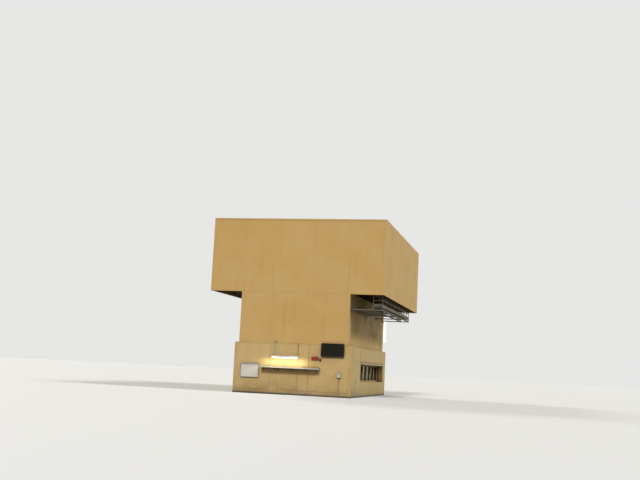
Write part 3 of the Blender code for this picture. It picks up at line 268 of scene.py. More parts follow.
# %% Group: uneven tone
uneven_tone, given, made = new_group(
    "uneven_tone", [("Color", "Colour", "Faded Colour", "Streak Colour"), ("Float", "Patches", "Streaks")],
    [("Color", "Colour"), ("Float", "Patch")])
place = object_place()
patch = between(noise(place, 0.55, 5.0, 0.6), 0.36, 0.66)
squeezed = vector_step("MULTIPLY", place, (1.0, 1.0, 0.07))
streak = between(noise(squeezed, 2.6, 6.0, 0.62), 0.5, 0.74)
streak = times(streak, between(noise(place, 0.8, 3.0), 0.42, 0.62))
faded = mix(times(patch, given["Patches"]), given["Colour"], given["Faded Colour"])
toned = mix(times(streak, given["Streaks"]), faded, given["Streak Colour"])
feed(made, Colour=toned, Patch=patch)

# %% [markdown]
# Dust, grime and painted shade
#
# Dust lies on what faces up. Where two faces meet, grime and painted shade are laid on together. The first
# comes from the surface's own direction, the second from ambient occlusion, which is dark near an inner
# corner, where shade falls. Noise breaks both up.

# %% Group: dust, grime and painted shade
dust_grime_and_shade, given, made = new_group("dust_grime_and_shade", [("Float", "Reach", "Dust", "Grime")],
                                    [("Float", "Dust", "Grime")])
place = object_place()
patches = between(noise(place, 0.9, 7.0, 0.6), 0.2, 0.8, 0.45, 1.0)
lying = times(between(split(facing())["Z"], 0.55, 0.95), patches)
corner = step("AmbientOcclusion", samples=6)
feed(corner, Distance=given["Reach"])
blotches = between(noise(place, 5.0, 6.0, 0.7), 0.25, 0.7, 0.45, 1.0)
# Darkens inner corners: part grime, part painted shade.
corner_grime_and_shade = times(between(corner.outputs["AO"], 0.92, 0.45), blotches)
feed(made, Dust=times(lying, given["Dust"]), Grime=times(corner_grime_and_shade, given["Grime"]))

# %% [markdown]
# Worn edges
#
# Paint wears first along the outer edges. The Bevel node gives the direction that a rounded edge would have,
# and where it turns away from the real direction there is an edge. Noise leaves only chips of it.

# %% Group: worn edges
worn_edges, given, made = new_group("worn_edges", [("Float", "Radius", "Wear")], [("Float", "Wear")])
rounded = step("Bevel", given["Radius"], samples=4).outputs["Normal"]
edge = between(vector_step("DOT_PRODUCT", rounded, facing()), 0.995, 0.9)
chips = between(noise(object_place(), 14.0, 8.0, 0.7), 0.46, 0.62)
feed(made, Wear=times(times(edge, chips), given["Wear"]))

# %% [markdown]
# Joints between sheets
#
# The joints between the sheets of the cladding are hair lines that the solids don't have. This group finds
# them from the coordinates: on every axis, the distance to the nearest joint. A face that looks along an axis
# has no joint across it, so it is masked by the face's direction. Each sheet also gets its own random value,
# because no two sheets took the paint alike.

# %% Group: sheet joints
sheet_joints, given, made = new_group("sheet_joints", [("Vector", "Pitch", "Start"), ("Float", "Width")],
                                      [("Float", "Joint", "Sheet", "Groove")])
MIDDLE, FAR_AWAY = (0.5, 0.5, 0.5), 9.0
place = vector_step("SUBTRACT", object_place(), given["Start"])
turn = vector_step("DIVIDE", place, given["Pitch"])
part = vector_step("SUBTRACT", vector_step("FRACTION", turn), MIDDLE)
away = vector_step("SUBTRACT", MIDDLE, vector_step("ABSOLUTE", part))
gaps = split(vector_step("MULTIPLY", away, given["Pitch"]))
ways = split(vector_step("ABSOLUTE", facing()))
nearest = FAR_AWAY
for gap, way in zip(gaps, ways):
    masked = math_step("ADD", gap, times(math_step("GREATER_THAN", way, 0.7), FAR_AWAY))
    nearest = math_step("MINIMUM", nearest, masked)
half = times(given["Width"], 0.5)
chance = step("TexWhiteNoise", vector_step("FLOOR", turn)).outputs["Value"]
feed(made, Joint=math_step("LESS_THAN", nearest, half), Sheet=chance,
     Groove=between(nearest, 0.0, half, smooth=False))

# %% [markdown]
# Scuffs near the floor
#
# The lowest metre of any machine is scuffed by pallets and wet brooms. The mask is strong at the floor and
# fades with the height, and two noises, one of them drawn out along the wall, tear it into scuffs.

# %% Group: scuffs near the floor
floor_scuffs, given, made = new_group("floor_scuffs", [("Float", "Height", "Scuffs")], [("Float", "Scuffs")])
place = object_place()
near_floor = between(math_step("DIVIDE", split(place)["Z"], given["Height"]), 1.0, 0.0)
drawn = vector_step("MULTIPLY", place, (0.5, 0.5, 4.0))
torn = between(noise(drawn, 3.0, 8.0, 0.7), 0.48, 0.66)
soft = between(noise(place, 2.0, 5.0, 0.6), 0.35, 0.7, 0.25, 0.8)
torn = times(near_floor, math_step("MAXIMUM", torn, soft))
feed(made, Scuffs=times(torn, given["Scuffs"]))
print("effect groups:", [g.name for g in bpy.data.node_groups])

# %% [markdown]
# Cream cladding paint
#
# Nearly all that the hall sees of the press is sheet steel in one cream paint. The seams darken the colour
# and dip in a bump, so that they catch light as a real gap does. Long, low waves in the same bump make the
# sheets slightly uneven, as big thin sheets always are. The paint is matt, so that a wall seen at a low
# angle doesn't turn white. An axis without joints has the pitch WHOLE, longer than the press.


# %% Cladding paint
def bump(shader, height, distance, strength=1.0, under=None):
    """Feeds the shader's Normal with a height in metres times distance."""
    made = step("Bump")
    feed(made, Strength=strength, Distance=distance, Height=height, Normal=under)
    feed(shader, Normal=made.outputs["Normal"])
    return made.outputs["Normal"]


WALL_SHINE = 0.12
CREAM, CREAM_FADED = (207, 170, 107), (214, 182, 123)
CREAM_STREAK, BARE_STEEL = (168, 132, 74), (120, 112, 100)
WALL_DUST, WALL_GRIME_AND_SHADE, JOINT_DARK = (176, 166, 146), (58, 48, 36), (70, 52, 30)
SCUFF_BROWN, OIL_DUST = (104, 88, 64), (150, 144, 130)
WHOLE = 900.0
NO_JOINTS = {"pitch": (WHOLE,) * 3, "start": (-WHOLE / 2,) * 3}


def painted_sheet(name, colour=CREAM, faded=CREAM_FADED, streak=CREAM_STREAK, *, pitch, start, wear=0.5,
                  grime_and_shade=0.6, joint=0.014, scuffs=0.0):
    """A paint on sheet steel: fading, streaks, sheet joints, dust, grime with painted shade in corners, and
    chipped edges.
    """
    material, shader = new_material(name)
    tone = add_group(uneven_tone, Colour=colour, Faded_Colour=faded, Streak_Colour=streak,
                     Patches=0.42, Streaks=0.22)
    sheets = add_group(sheet_joints, Pitch=pitch, Start=start, Width=joint)
    soil_and_shade = add_group(dust_grime_and_shade, Reach=0.35, Dust=0.5, Grime=grime_and_shade)
    worn = add_group(worn_edges, Radius=0.012, Wear=wear)["Wear"]
    shown = mix(times(sheets["Sheet"], 0.1), tone["Colour"], streak)
    shown = mix(soil_and_shade["Dust"], shown, WALL_DUST)
    # Darker in inner corners: grime and painted shade.
    shown = mix(soil_and_shade["Grime"], shown, WALL_GRIME_AND_SHADE)
    if scuffs:
        low_marks = add_group(floor_scuffs, Height=1.1, Scuffs=scuffs)["Scuffs"]
        shown = mix(low_marks, shown, SCUFF_BROWN)
    shown = mix(worn, shown, BARE_STEEL)
    shown = mix(times(sheets["Joint"], 0.45), shown, JOINT_DARK)
    rough = between(tone["Patch"], 0, 1, 0.42, 0.62)
    rough = math_step("ADD", rough, times(soil_and_shade["Dust"], 0.3))
    feed(shader, Base_Color=shown, Roughness=rough, Metallic=times(worn, 0.8),
         Specular_IOR_Level=WALL_SHINE)
    low = bump(shader, noise(object_place(), 0.9, 1.0), 0.05, 0.35)
    bump(shader, sheets["Groove"], 0.006, 0.8, low)
    return material


head_paint = painted_sheet("cream_head_paint", pitch=(2.24, 2.0125, WHOLE), start=(1.12, -7.86, -WHOLE / 2),
                           joint=0.007)
body_paint = painted_sheet("cream_body_paint", **NO_JOINTS)
base_paint = painted_sheet("cream_base_paint", (204, 174, 118), (214, 188, 138), (158, 128, 80),
                           pitch=(WHOLE, 3.25, WHOLE), start=(-WHOLE / 2, -7.86, -WHOLE / 2), wear=0.8,
                           grime_and_shade=0.85, scuffs=0.55)
trim_paint = painted_sheet("cream_trim_paint", (208, 174, 112), **NO_JOINTS, wear=0.7)
print("cladding paints made")

# %% [markdown]
# Paint on castings and hydraulic parts
#
# The frame, the cylinders and the steelwork have thick machine paint on welded or cast surfaces. It is the
# same recipe without sheet joints, with a rougher skin and more corner grime, since they are never washed,
# and with it more painted shade.


# %% Machine paint
def machine_paint(name, colour, faded, streak, bare=BARE_STEEL, wear=0.6, grime_and_shade=0.8, skin=0.0006,
                  grain_size=60.0, roughness=(0.38, 0.6)):
    """Thick paint on heavy steel: fading, runs, dust, grime with painted shade in corners, chips and a fine
    rough skin.
    """
    material, shader = new_material(name)
    tone = add_group(uneven_tone, Colour=colour, Faded_Colour=faded, Streak_Colour=streak,
                     Patches=0.7, Streaks=0.6)
    soil_and_shade = add_group(dust_grime_and_shade, Reach=0.2, Dust=0.6, Grime=grime_and_shade)
    worn = add_group(worn_edges, Radius=0.008, Wear=wear)["Wear"]
    shown = mix(soil_and_shade["Dust"], tone["Colour"], OIL_DUST)
    # Near black in inner corners: grime and painted shade.
    shown = mix(soil_and_shade["Grime"], shown, (34, 30, 26))
    feed(shader, Base_Color=mix(worn, shown, bare), Metallic=times(worn, 0.85),
         Roughness=between(tone["Patch"], 0, 1, *roughness))
    bump(shader, noise(object_place(), grain_size, 3.0), skin, 0.6)
    return material


frame_paint = machine_paint("frame_paint", (128, 142, 134), (146, 156, 146), (86, 88, 76),
                            skin=0.002, grain_size=25.0)
hydraulic_paint = machine_paint("hydraulic_grey", (126, 136, 142), (144, 150, 152), (80, 78, 70))
steelwork_paint = machine_paint("steelwork_paint", (98, 94, 82), (116, 110, 94), (66, 52, 36),
                                (132, 124, 112), wear=0.9, roughness=(0.5, 0.75))
# The head's underside: a dark copy of the cream, painted shade under the overhang.
shaded_soffit_paint = machine_paint("shaded_soffit_paint", (96, 76, 50), (112, 92, 64), (58, 46, 32),
                             roughness=(0.6, 0.8))
enamel = machine_paint("white_enamel", (222, 218, 206), (206, 200, 184), (150, 140, 118),
                       (140, 134, 124), wear=0.5, grime_and_shade=0.5, skin=0.0002, roughness=(0.25, 0.4))
box_paint = machine_paint("light_grey_paint", (196, 192, 178), (208, 204, 192), (140, 132, 112),
                          wear=0.8, grime_and_shade=0.6, skin=0.0003)
print("machine paints made")

# %% [markdown]
# Bare metals: machined, chromed, zinc plated, scuffed
#
# Milled faces show close parallel tool marks, and on a press they are always oiled. The marks are a noise
# stretched along one axis, in the roughness and in a shallow bump. The rams are ground and chromed, so they
# only carry a faint film of oil and fine upright scratches. Zinc plate is as coarse in every direction.


# %% Metals
def bare_metal(name, colour, dark, stretch, scale, roughness, stain=0.5, marks=0.0004):
    """Bare metal with tool marks or crystals, stretched by the vector stretch."""
    material, shader = new_material(name)
    place = object_place()
    lines = noise(vector_step("MULTIPLY", place, stretch), scale, 6.0, 0.7)
    oil = between(noise(place, 1.6, 6.0, 0.65), 0.42, 0.66)
    soil_and_shade = add_group(dust_grime_and_shade, Reach=0.15, Dust=0.25, Grime=0.7)
    shown = mix(times(oil, stain), colour, dark)
    # Darker in inner corners: grime and painted shade.
    feed(shader, Base_Color=mix(soil_and_shade["Grime"], shown, (40, 36, 30)), Metallic=1.0,
         Roughness=between(lines, 0.3, 0.7, *roughness))
    bump(shader, lines, marks, 0.5)
    return material


machined = bare_metal("machined_steel", (188, 188, 190), (126, 118, 104), (1.0, 0.05, 1.0), 40.0,
                      (0.25, 0.5))
chromed = bare_metal("polished_rod", (226, 228, 232), (196, 188, 168), (1.0, 1.0, 0.06), 60.0,
                     (0.06, 0.2), stain=0.3, marks=0.0001)
zinc_plate = bare_metal("zinc_plate", (176, 176, 170), (120, 112, 96), (1, 1, 1), 18.0, (0.3, 0.55))
scuffed_steel = bare_metal("scuffed_steel", (186, 184, 178), (118, 112, 100), (1.0, 0.12, 1.0), 22.0,
                           (0.28, 0.6), marks=0.001)
reflector = bare_metal("lamp_reflector", (236, 234, 226), (214, 208, 192), (0.1, 1, 1), 30.0,
                       (0.12, 0.3), stain=0.3)
alloy = bare_metal("drawn_aluminium", (190, 190, 186), (150, 146, 136), (0.06, 1, 1), 40.0,
                   (0.28, 0.45))
galvanised = bare_metal("galvanised_steel", (150, 150, 144), (104, 98, 86), (1, 1, 1), 9.0,
                        (0.38, 0.6), stain=0.7)

# %% [markdown]
# Glass, plastics and the lamp tubes
#
# The gate windows are dark glass behind a film of dust. The lamp tubes give light: a slow noise moves the
# glow between two warm whites, so that no tube is one flat tone. The corner lamp has a milky cover, which
# glows less than a bare tube.

# %% Window glass
window_glass, shader = new_material("window_glass")
film = between(noise(object_place(), 2.4, 8.0, 0.7), 0.3, 0.75)
feed(shader, Base_Color=mix(film, (62, 66, 62), (118, 116, 104)), IOR=1.5,
     Transmission_Weight=0.75, Roughness=between(film, 0, 1, 0.04, 0.35))


# %% Plastics
def moulded(name, colour, worn_colour, roughness, skin=0.0002, shine=0.5):
    """Moulded or lacquered plastic with faded patches, smears and a fine skin."""
    material, shader = new_material(name)
    place = object_place()
    drawn = vector_step("MULTIPLY", place, (1, 1, 0.4))
    smear = between(noise(drawn, 4.0, 7.0, 0.7), 0.4, 0.7)
    soil_and_shade = add_group(dust_grime_and_shade, Reach=0.05, Dust=0.7, Grime=0.6)
    shown = mix(soil_and_shade["Dust"], mix(smear, colour, worn_colour), OIL_DUST)
    # Darker in inner corners: grime and painted shade.
    feed(shader, Base_Color=mix(soil_and_shade["Grime"], shown, (30, 24, 20)), Specular_IOR_Level=shine,
         Roughness=between(smear, 0, 1, *roughness))
    bump(shader, noise(place, 300.0, 2.0), skin, 0.4)
    return material


screen_black = moulded("screen_black", (30, 28, 27), (38, 36, 34), (0.12, 0.3))
panel_glass = moulded("panel_glass", (20, 18, 16), (27, 25, 22), (0.05, 0.12), 0.00005, shine=0.2)
red_plastic = moulded("red_plastic", (158, 44, 40), (140, 52, 46), (0.35, 0.6))
yellow = moulded("warning_yellow", (214, 168, 34), (196, 156, 44), (0.35, 0.55))
rubber = moulded("seal_rubber", (34, 33, 32), (52, 50, 47), (0.6, 0.85), skin=0.0004)


# %% Lamp tube and milky cover
def glowing(name, place_scale, scale, detail, base, glow, roughness, strength):
    """A lamp surface. base and glow are each the two colours that a noise moves between."""
    material, shader = new_material(name)
    place = vector_step("MULTIPLY", object_place(), place_scale)
    share = between(noise(place, scale, detail), 0.3, 0.7)
    feed(shader, Base_Color=mix(share, *base), Emission_Color=mix(share, *glow),
         Roughness=between(share, 0, 1, *roughness), Emission_Strength=strength)
    return material


lamp_tube = glowing("lamp_tube", (1, 1, 1), 3.0, 2.0, ((255, 246, 222), (255, 252, 240)),
                    ((255, 240, 200), (255, 250, 232)), (0.2, 0.3), 7.0)
milky_cover = glowing("milky_cover", (1, 1, 0.2), 5.0, 3.0, ((250, 246, 230), (240, 236, 220)),
                      ((255, 250, 226), (250, 242, 214)), (0.3, 0.45), 1.6)
print("materials:", len(bpy.data.materials))

# %% [markdown]
# Dressing the solids
#
# A CAD solid whose shape is right only needs its finish. It gets one by its name, or by the start of the name
# where a whole family shares it, and the cell stops if a solid is left over.

# %% Finishes by name
FINISHES = (
    (head_paint, ("fascia_", "roof")),
    (body_paint, ("body_",)),
    (base_paint, ("base_", "service_door_", "gate_left", "gate_right")),
    (frame_paint, ("bed", "upright_", "crown", "slide")),
    (machined, ("tie_rod_", "bolster", "cushion")),
    (chromed, ("main_ram_",)),
    (hydraulic_paint, ("main_cylinder_", "cushion_cylinder", "oil_tank", "pump_unit_", "pressure_pipe",
                       "gate_cylinder_")),
    (steelwork_paint, ("gangway_", "gate_guide_")),
    (shaded_soffit_paint, ("head_floor",)),
    (window_glass, ("gate_window_",)),
    (screen_black, ("display_screen",)),
    (red_plastic, ("red_sign", "stop_button")),
    (enamel, ("notice_board", "work_lamp", "corner_lamp")),
    (lamp_tube, ("work_lamp_tube", "corner_lamp_tube")),
    (box_paint, ("shelf", "control_box")),
)


def finish_of(name):
    """The material whose listed start fits the node's name with the most letters."""
    fits = [(len(start), material) for material, starts in FINISHES for start in starts
            if name.startswith(start)]
    return max(fits, key=lambda fit: fit[0])[1]


for name, solid in node.items():
    solid.data.materials.clear()
    solid.data.materials.append(finish_of(name))
print("dressed solids:", len(node))

# %% [markdown]
# Trim and fasteners on the cladding
#
# What makes a large plain box read as a machine is its small ironwork: corner strips, cover strips on the
# seams, and the screws that hold the covers. Each strip is a bar with bevelled edges, because a bevel catches
# the light as a real fold does. Most places come from the boxes of the solids that carry the trim.

# %% Modelling helpers
NEAR, UP = (0, -1, 0), (0, 0, 1)
SIDES = (("right", 1), ("left", -1))
bm = bmesh.new()


def finished(name, material, body="frame", smooth=False):
    """Makes what was modelled in bm a piece of the press, which rides on a body, and empties bm."""
    bmesh.ops.recalc_face_normals(bm, faces=bm.faces)
    mesh = bpy.data.meshes.new(name)
    bm.to_mesh(mesh)
    bm.clear()
    mesh.materials.append(material)
    for polygon in mesh.polygons:
        polygon.use_smooth = smooth
    made = bpy.data.objects.new(name, mesh)
    show(made)
    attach(made, body)
    print(name, len(mesh.polygons), "faces")


def join(part):
    """Adds a part to bm. A part that is made on its own comes out the same at each run."""
    shape = bpy.data.meshes.new("part")
    part.to_mesh(shape)
    part.free()
    bm.from_mesh(shape)
    bpy.data.meshes.remove(shape)


def bevel(part, edges, offset, segments=2):
    """Rounds the edges of a part."""
    bmesh.ops.bevel(part, geom=edges, offset=offset, affect="EDGES", segments=segments, profile=0.5,
                    material=-1)


def bar(first, second, edge=0.002, segments=2):
    """A bar between two opposite corners, with bevelled edges."""
    low, high = (Vector(pick(pair) for pair in zip(first, second)) for pick in (min, max))
    part = bmesh.new()
    bmesh.ops.create_cube(part, size=1.0)
    bmesh.ops.scale(part, vec=high - low, verts=part.verts)
    bmesh.ops.translate(part, vec=(low + high) / 2, verts=part.verts)
    bevel(part, part.edges[:], edge, segments)
    join(part)


def plate(x, z, half_width, half_height, back, front, edge, segments=2):
    """A bar centred on x and z, from back to front along y."""
    bar((x - half_width, front, z - half_height), (x + half_width, back, z + half_height), edge, segments)


def seat(place, way):
    """The matrix that stands a shape on a place, with its height along way."""
    return Matrix.Translation(place) @ Vector(way).to_track_quat("Z", "Y").to_matrix().to_4x4()


def disc(place, way, radius, depth, segments=20, top=None):
    """A short cylinder round a place and along way, or a cone where its top has another radius."""
    bmesh.ops.create_cone(bm, cap_ends=True, segments=segments, radius1=radius,
                          radius2=radius if top is None else top, depth=depth, matrix=seat(place, way))


def screws(places, way, radius=0.013, height=0.009):
    """A hexagon head on a washer at each place, pointing along way."""
    way = Vector(way)
    for place in places:
        disc(Vector(place) + 0.1 * height * way, way, 1.6 * radius, 0.6 * height, 12, 1.5 * radius)
        disc(Vector(place) + 0.9 * height * way, way, radius, height, 6, 0.9 * radius)


def frame_ring(middle, size, width, depth, way, edge=0.001):
    """A flat rectangular ring. size is its outside width and height, way the level direction of its front."""
    ring = bmesh.new()
    face = bmesh.ops.create_grid(ring, x_segments=1, y_segments=1, size=0.5)["verts"][0].link_faces[0]
    bmesh.ops.scale(ring, vec=(*size, 1), verts=face.verts)
    bmesh.ops.inset_individual(ring, faces=[face], thickness=width)
    bmesh.ops.delete(ring, geom=[face], context="FACES_ONLY")
    grown = bmesh.ops.extrude_face_region(ring, geom=ring.faces[:], use_keep_orig=True)["geom"]
    front = [v for v in grown if isinstance(v, bmesh.types.BMVert)]
    bmesh.ops.translate(ring, vec=(0, 0, depth), verts=front)
    crests = [e for e in ring.edges if all(v in front for v in e.verts)]
    bevel(ring, crests, edge)
    up, ahead_way = Vector(UP), Vector(way)
    turn = Matrix((up.cross(ahead_way), up, ahead_way)).transposed().to_4x4()
    ring.transform(Matrix.Translation(middle) @ turn)
    join(ring)


def centre(solid):
    """The middle of a solid's box."""
    return sum(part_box(solid), Vector((0, 0, 0))) / 2


def along(low, high, pitch):
    """Evenly spaced numbers from low to high, both included, about pitch apart."""
    count = max(1, round((high - low) / pitch))
    return [low + (high - low) * index / count for index in range(count + 1)]


def border(x0, z0, x1, z1, inset, pitch):
    """Points round a rectangle, inset from its edges and about pitch apart."""
    x0, z0, x1, z1 = x0 + inset, z0 + inset, x1 - inset, z1 - inset
    points = [(x, z) for x in along(x0, x1, pitch) for z in (z0, z1)]
    return points + [(x, z) for z in along(z0, z1, pitch)[1:-1] for x in (x0, x1)]


# %% Near face of the head: corner strips, top cap and seam strips
head_low, head_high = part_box("fascia_near")
body_low, body_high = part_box("body_end_near")
HEAD_FACE, HEAD_BOTTOM, ROOF_TOP = head_low.y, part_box("fascia_right")[0].z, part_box("roof")[1].z
TONGUE_HALF, SUNK = 3.23, 0.002
STRIP_WIDTH, STRIP_DEPTH, CAP_HEIGHT, CAP_DEPTH = 0.12, 0.008, 0.1, 0.012
SEAM_HALF, SEAM_DEPTH = 0.014, 0.003
NEAR_SEAMS = (-1.5, -0.55, 0.0, 1.0, 1.9)

for side in (-1, 1):
    bar((side * (head_high.x - 0.001), HEAD_FACE - STRIP_DEPTH, HEAD_BOTTOM + 0.002),
        (side * (head_high.x - STRIP_WIDTH), HEAD_FACE + SUNK, ROOF_TOP - CAP_HEIGHT))
bar((head_low.x + 0.001, HEAD_FACE - CAP_DEPTH, ROOF_TOP - CAP_HEIGHT),
    (head_high.x - 0.001, HEAD_FACE + SUNK, ROOF_TOP - 0.001), edge=0.003)
finished("head_corner_strips", trim_paint)

bar((-TONGUE_HALF, HEAD_FACE - 0.004, HEAD_BOTTOM - 0.012),
    (TONGUE_HALF, HEAD_FACE + SUNK, HEAD_BOTTOM + 0.012))
for x in NEAR_SEAMS:
    bar((x - SEAM_HALF, HEAD_FACE - SEAM_DEPTH, body_low.z + 0.01),
        (x + SEAM_HALF, HEAD_FACE + SUNK, head_low.z - 0.01), edge=0.001)
finished("seam_cover_strips", trim_paint)

# %% [markdown]
# Cover strips on the body walls
#
# The body is clad with upright sheets about a metre wide, and a flat strip covers each seam. On the right
# side the strips stop below and above the gangway. The far end has strips like the long sides.

# %% Body seam strips and corner angles
SEAM_PITCH, SEAM_MARGIN, FAR_SEAM_SPAN, FAR_SEAM_PITCH = 1.1, 0.55, 2.8, 1.12
wall_low, wall_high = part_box("body_side_right")
STRIP_LOW, STRIP_HIGH = wall_low.z + 0.01, wall_high.z - 0.02
BODY_FAR_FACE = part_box("body_end_far")[1].y
landing_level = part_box("gangway_deck")[0].z
for side, spans in ((-1, ((STRIP_LOW, STRIP_HIGH),)),
                    (1, ((STRIP_LOW, landing_level - 0.08), (landing_level + 0.14, STRIP_HIGH)))):
    for y in along(wall_low.y + SEAM_MARGIN, wall_high.y - SEAM_MARGIN, SEAM_PITCH):
        for z0, z1 in spans:
            bar((side * (body_high.x - SUNK), y - SEAM_HALF, z0),
                (side * (body_high.x + SEAM_DEPTH), y + SEAM_HALF, z1), edge=0.001)
for x in along(-FAR_SEAM_SPAN, FAR_SEAM_SPAN, FAR_SEAM_PITCH):
    bar((x - SEAM_HALF, BODY_FAR_FACE - SUNK, STRIP_LOW),
        (x + SEAM_HALF, BODY_FAR_FACE + SEAM_DEPTH, STRIP_HIGH), edge=0.001)
finished("wall_seam_strips", trim_paint)

base_near_low, base_near_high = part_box("base_end_near")
COVER_FACE, BASE_HALF = base_near_low.y, base_near_high.x
WALL_FACE, BASE_FAR_FACE = COVER_FACE + 0.012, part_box("base_end_far")[1].y
ANGLE_WIDTH, ANGLE_DEPTH, ANGLE_SUNK = 0.06, 0.0025, 0.001
CORNERS = ((body_high.x, HEAD_FACE, BODY_FAR_FACE, STRIP_LOW, 5.3),
           (BASE_HALF, WALL_FACE, BASE_FAR_FACE, 0.12, wall_low.z - 0.01))
for half_width, near_y, far_y, z0, z1 in CORNERS:
    for side in (-1, 1):
        for y, way in ((near_y, -1), (far_y, 1)):
            outer = (side * (half_width + ANGLE_DEPTH), y + way * ANGLE_DEPTH, z1)
            bar((side * (half_width - ANGLE_WIDTH), y - way * ANGLE_SUNK, z0), outer, edge=0.001)
            bar((side * (half_width - ANGLE_SUNK), y - way * ANGLE_WIDTH, z0), outer, edge=0.001)
finished("corner_angles", trim_paint)

# %% Screws of the head strips and the base covers
for side in (-1, 1):
    x, rows = side * (head_high.x - STRIP_WIDTH / 2), along(HEAD_BOTTOM + 0.15, ROOF_TOP - 0.25, 0.55)
    screws([(x, HEAD_FACE - STRIP_DEPTH, z) for z in rows], NEAR)
screws([(x, HEAD_FACE - CAP_DEPTH, ROOF_TOP - CAP_HEIGHT / 2) for x in along(-5.3, 5.3, 0.6)], NEAR)
finished("head_strip_screws", trim_paint)

END_COVERS = ((-3.6, -1.44), (-0.92, 0.36), (0.39, 1.05), (1.1, 3.6))
SIDE_COVERS = ((0.3, 3.0), (3.05, 10.6), (10.65, 12.7))
END_COVER_LOW, SIDE_COVER_LOW, COVER_HIGH = 0.3, 2.25, 3.08
SIDE_COVER_FACE, SCREW_INSET = 3.762, 0.045
for x0, x1 in END_COVERS:
    rows = border(x0, END_COVER_LOW, x1, COVER_HIGH, SCREW_INSET, 0.62)
    screws([(x, COVER_FACE, z) for x, z in rows], NEAR)
for side in (-1, 1):
    for y0, y1 in SIDE_COVERS:
        rows = border(HEAD_FACE + y0, SIDE_COVER_LOW, HEAD_FACE + y1, COVER_HIGH, SCREW_INSET, 0.7)
        screws([(side * SIDE_COVER_FACE, y, z) for y, z in rows], (side, 0, 0))
finished("base_cover_screws", zinc_plate)

# %% [markdown]
# Skirting at the floor
#
# Where the cladding meets the floor, a dark strip of four bars takes the knocks of pallets and brooms.

# %% Skirting
SKIRT_HEIGHT, SKIRT_DEPTH, FLOOR_GAP = 0.1, 0.008, 0.001
for face, way in ((WALL_FACE, -1), (BASE_FAR_FACE, 1)):
    bar((-BASE_HALF, face + way * SKIRT_DEPTH, FLOOR_GAP), (BASE_HALF, face - way * SUNK, SKIRT_HEIGHT))
for side in (-1, 1):
    bar((side * (BASE_HALF - SUNK), WALL_FACE - SKIRT_DEPTH, FLOOR_GAP),
        (side * (BASE_HALF + SKIRT_DEPTH), BASE_FAR_FACE + SKIRT_DEPTH, SKIRT_HEIGHT))
finished("base_skirting", steelwork_paint)

# %% [markdown]
# Windows of the lift gates
#
# Each pane sits in a black rubber profile, and the gate's frame is bolted round it. The rings ride on the
# gates, so they lift with them.

# %% Window seals and gate bolts
GATE_WINDOWS, WINDOW_Z, WINDOW_GAP, WINDOW_MARGIN = 6, (1.05, 2.0), 0.12, 0.3
GATE_FACE, BOLT_LEVELS = 3.36, (1.0, 2.045)
gate_low, gate_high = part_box("gate_right")
panes_low, panes_high = gate_low.y + WINDOW_MARGIN, gate_high.y - WINDOW_MARGIN
pane_width = (panes_high - panes_low - (GATE_WINDOWS - 1) * WINDOW_GAP) / GATE_WINDOWS
pane_height = WINDOW_Z[1] - WINDOW_Z[0]
for name, side in SIDES:
    glass_face = max(abs(c.x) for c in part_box(f"gate_window_{name}"))
    for index in range(GATE_WINDOWS):
        middle = panes_low + pane_width / 2 + index * (pane_width + WINDOW_GAP)
        frame_ring((side * (glass_face - 0.001), middle, sum(WINDOW_Z) / 2),
                   (pane_width + 0.002, pane_height + 0.002), 0.018, 0.022, (side, 0, 0), 0.004)
    finished(f"window_seals_{name}", rubber, body=f"gate_{name}_unit")
    rows = along(gate_low.y + 0.2, gate_high.y - 0.2, 0.43)
    screws([(side * GATE_FACE, y, z) for y in rows for z in BOLT_LEVELS], (side, 0, 0), radius=0.011)
    finished(f"gate_bolts_{name}", zinc_plate, body=f"gate_{name}_unit")

# %% [markdown]
# Service doors
#
# The door leaves are plain sheet, so their details matter: a rubber seal in the gap, a kick plate that is
# scuffed by boots, a lock under the handle, and the turned caps of the hinge pins. All but the seal ride on
# the door. The seal stays on the frame, as on a real door.

# %% Door seals, kick plates, locks and hinge caps
DOOR_Y, DOOR_Z, SEAL_X, LEAF_X = (-7.32, -6.32), (0.12, 2.05), 3.73, 3.749
KICK_X, KICK_Y, KICK_Z = 3.7515, (DOOR_Y[0] + 0.05, DOOR_Y[1] - 0.05), (0.16, 0.42)
LOCK_X, LOCK_Y, LOCK_Z = 3.753, DOOR_Y[1] - 0.108, 0.77
HINGE_X, HINGE_Y, HINGE_TOPS = 3.77, -7.338, (0.473, 1.773)
for name, side in SIDES:
    size = (DOOR_Y[1] - DOOR_Y[0] - 0.0006, DOOR_Z[1] - DOOR_Z[0] - 0.0006)
    middle = (side * SEAL_X, sum(DOOR_Y) / 2, sum(DOOR_Z) / 2)
    frame_ring(middle, size, 0.0065, 0.014, (side, 0, 0), 0.002)
    finished(f"door_seal_{name}", rubber)
    bar((side * LEAF_X, KICK_Y[0], KICK_Z[0]), (side * KICK_X, KICK_Y[1], KICK_Z[1]), edge=0.0008)
    rows = border(KICK_Y[0], KICK_Z[0], KICK_Y[1], KICK_Z[1], 0.02, 0.28)
    screws([(side * KICK_X, y, z) for y, z in rows], (side, 0, 0), radius=0.005, height=0.003)
    finished(f"kick_plate_{name}", scuffed_steel, body=f"door_{name}_unit")
    bar((side * LEAF_X, LOCK_Y - 0.022, LOCK_Z - 0.07), (side * LOCK_X, LOCK_Y + 0.022, LOCK_Z + 0.07),
        edge=0.0015)
    disc((side * (LOCK_X + 0.003), LOCK_Y, LOCK_Z), (1, 0, 0), 0.012, 0.01)
    for z in HINGE_TOPS:
        disc((side * HINGE_X, HINGE_Y, z + 0.004), UP, 0.013, 0.008, 16, 0.009)
    finished(f"door_fittings_{name}", zinc_plate, body=f"door_{name}_unit")

# %% [markdown]
# Lamp, screen, board and sign
#
# The solids of the fittings give their size and place, and these pieces give what tells a lamp from a plain
# box: end caps, a bright reflector, clips and a gland for the conduit.

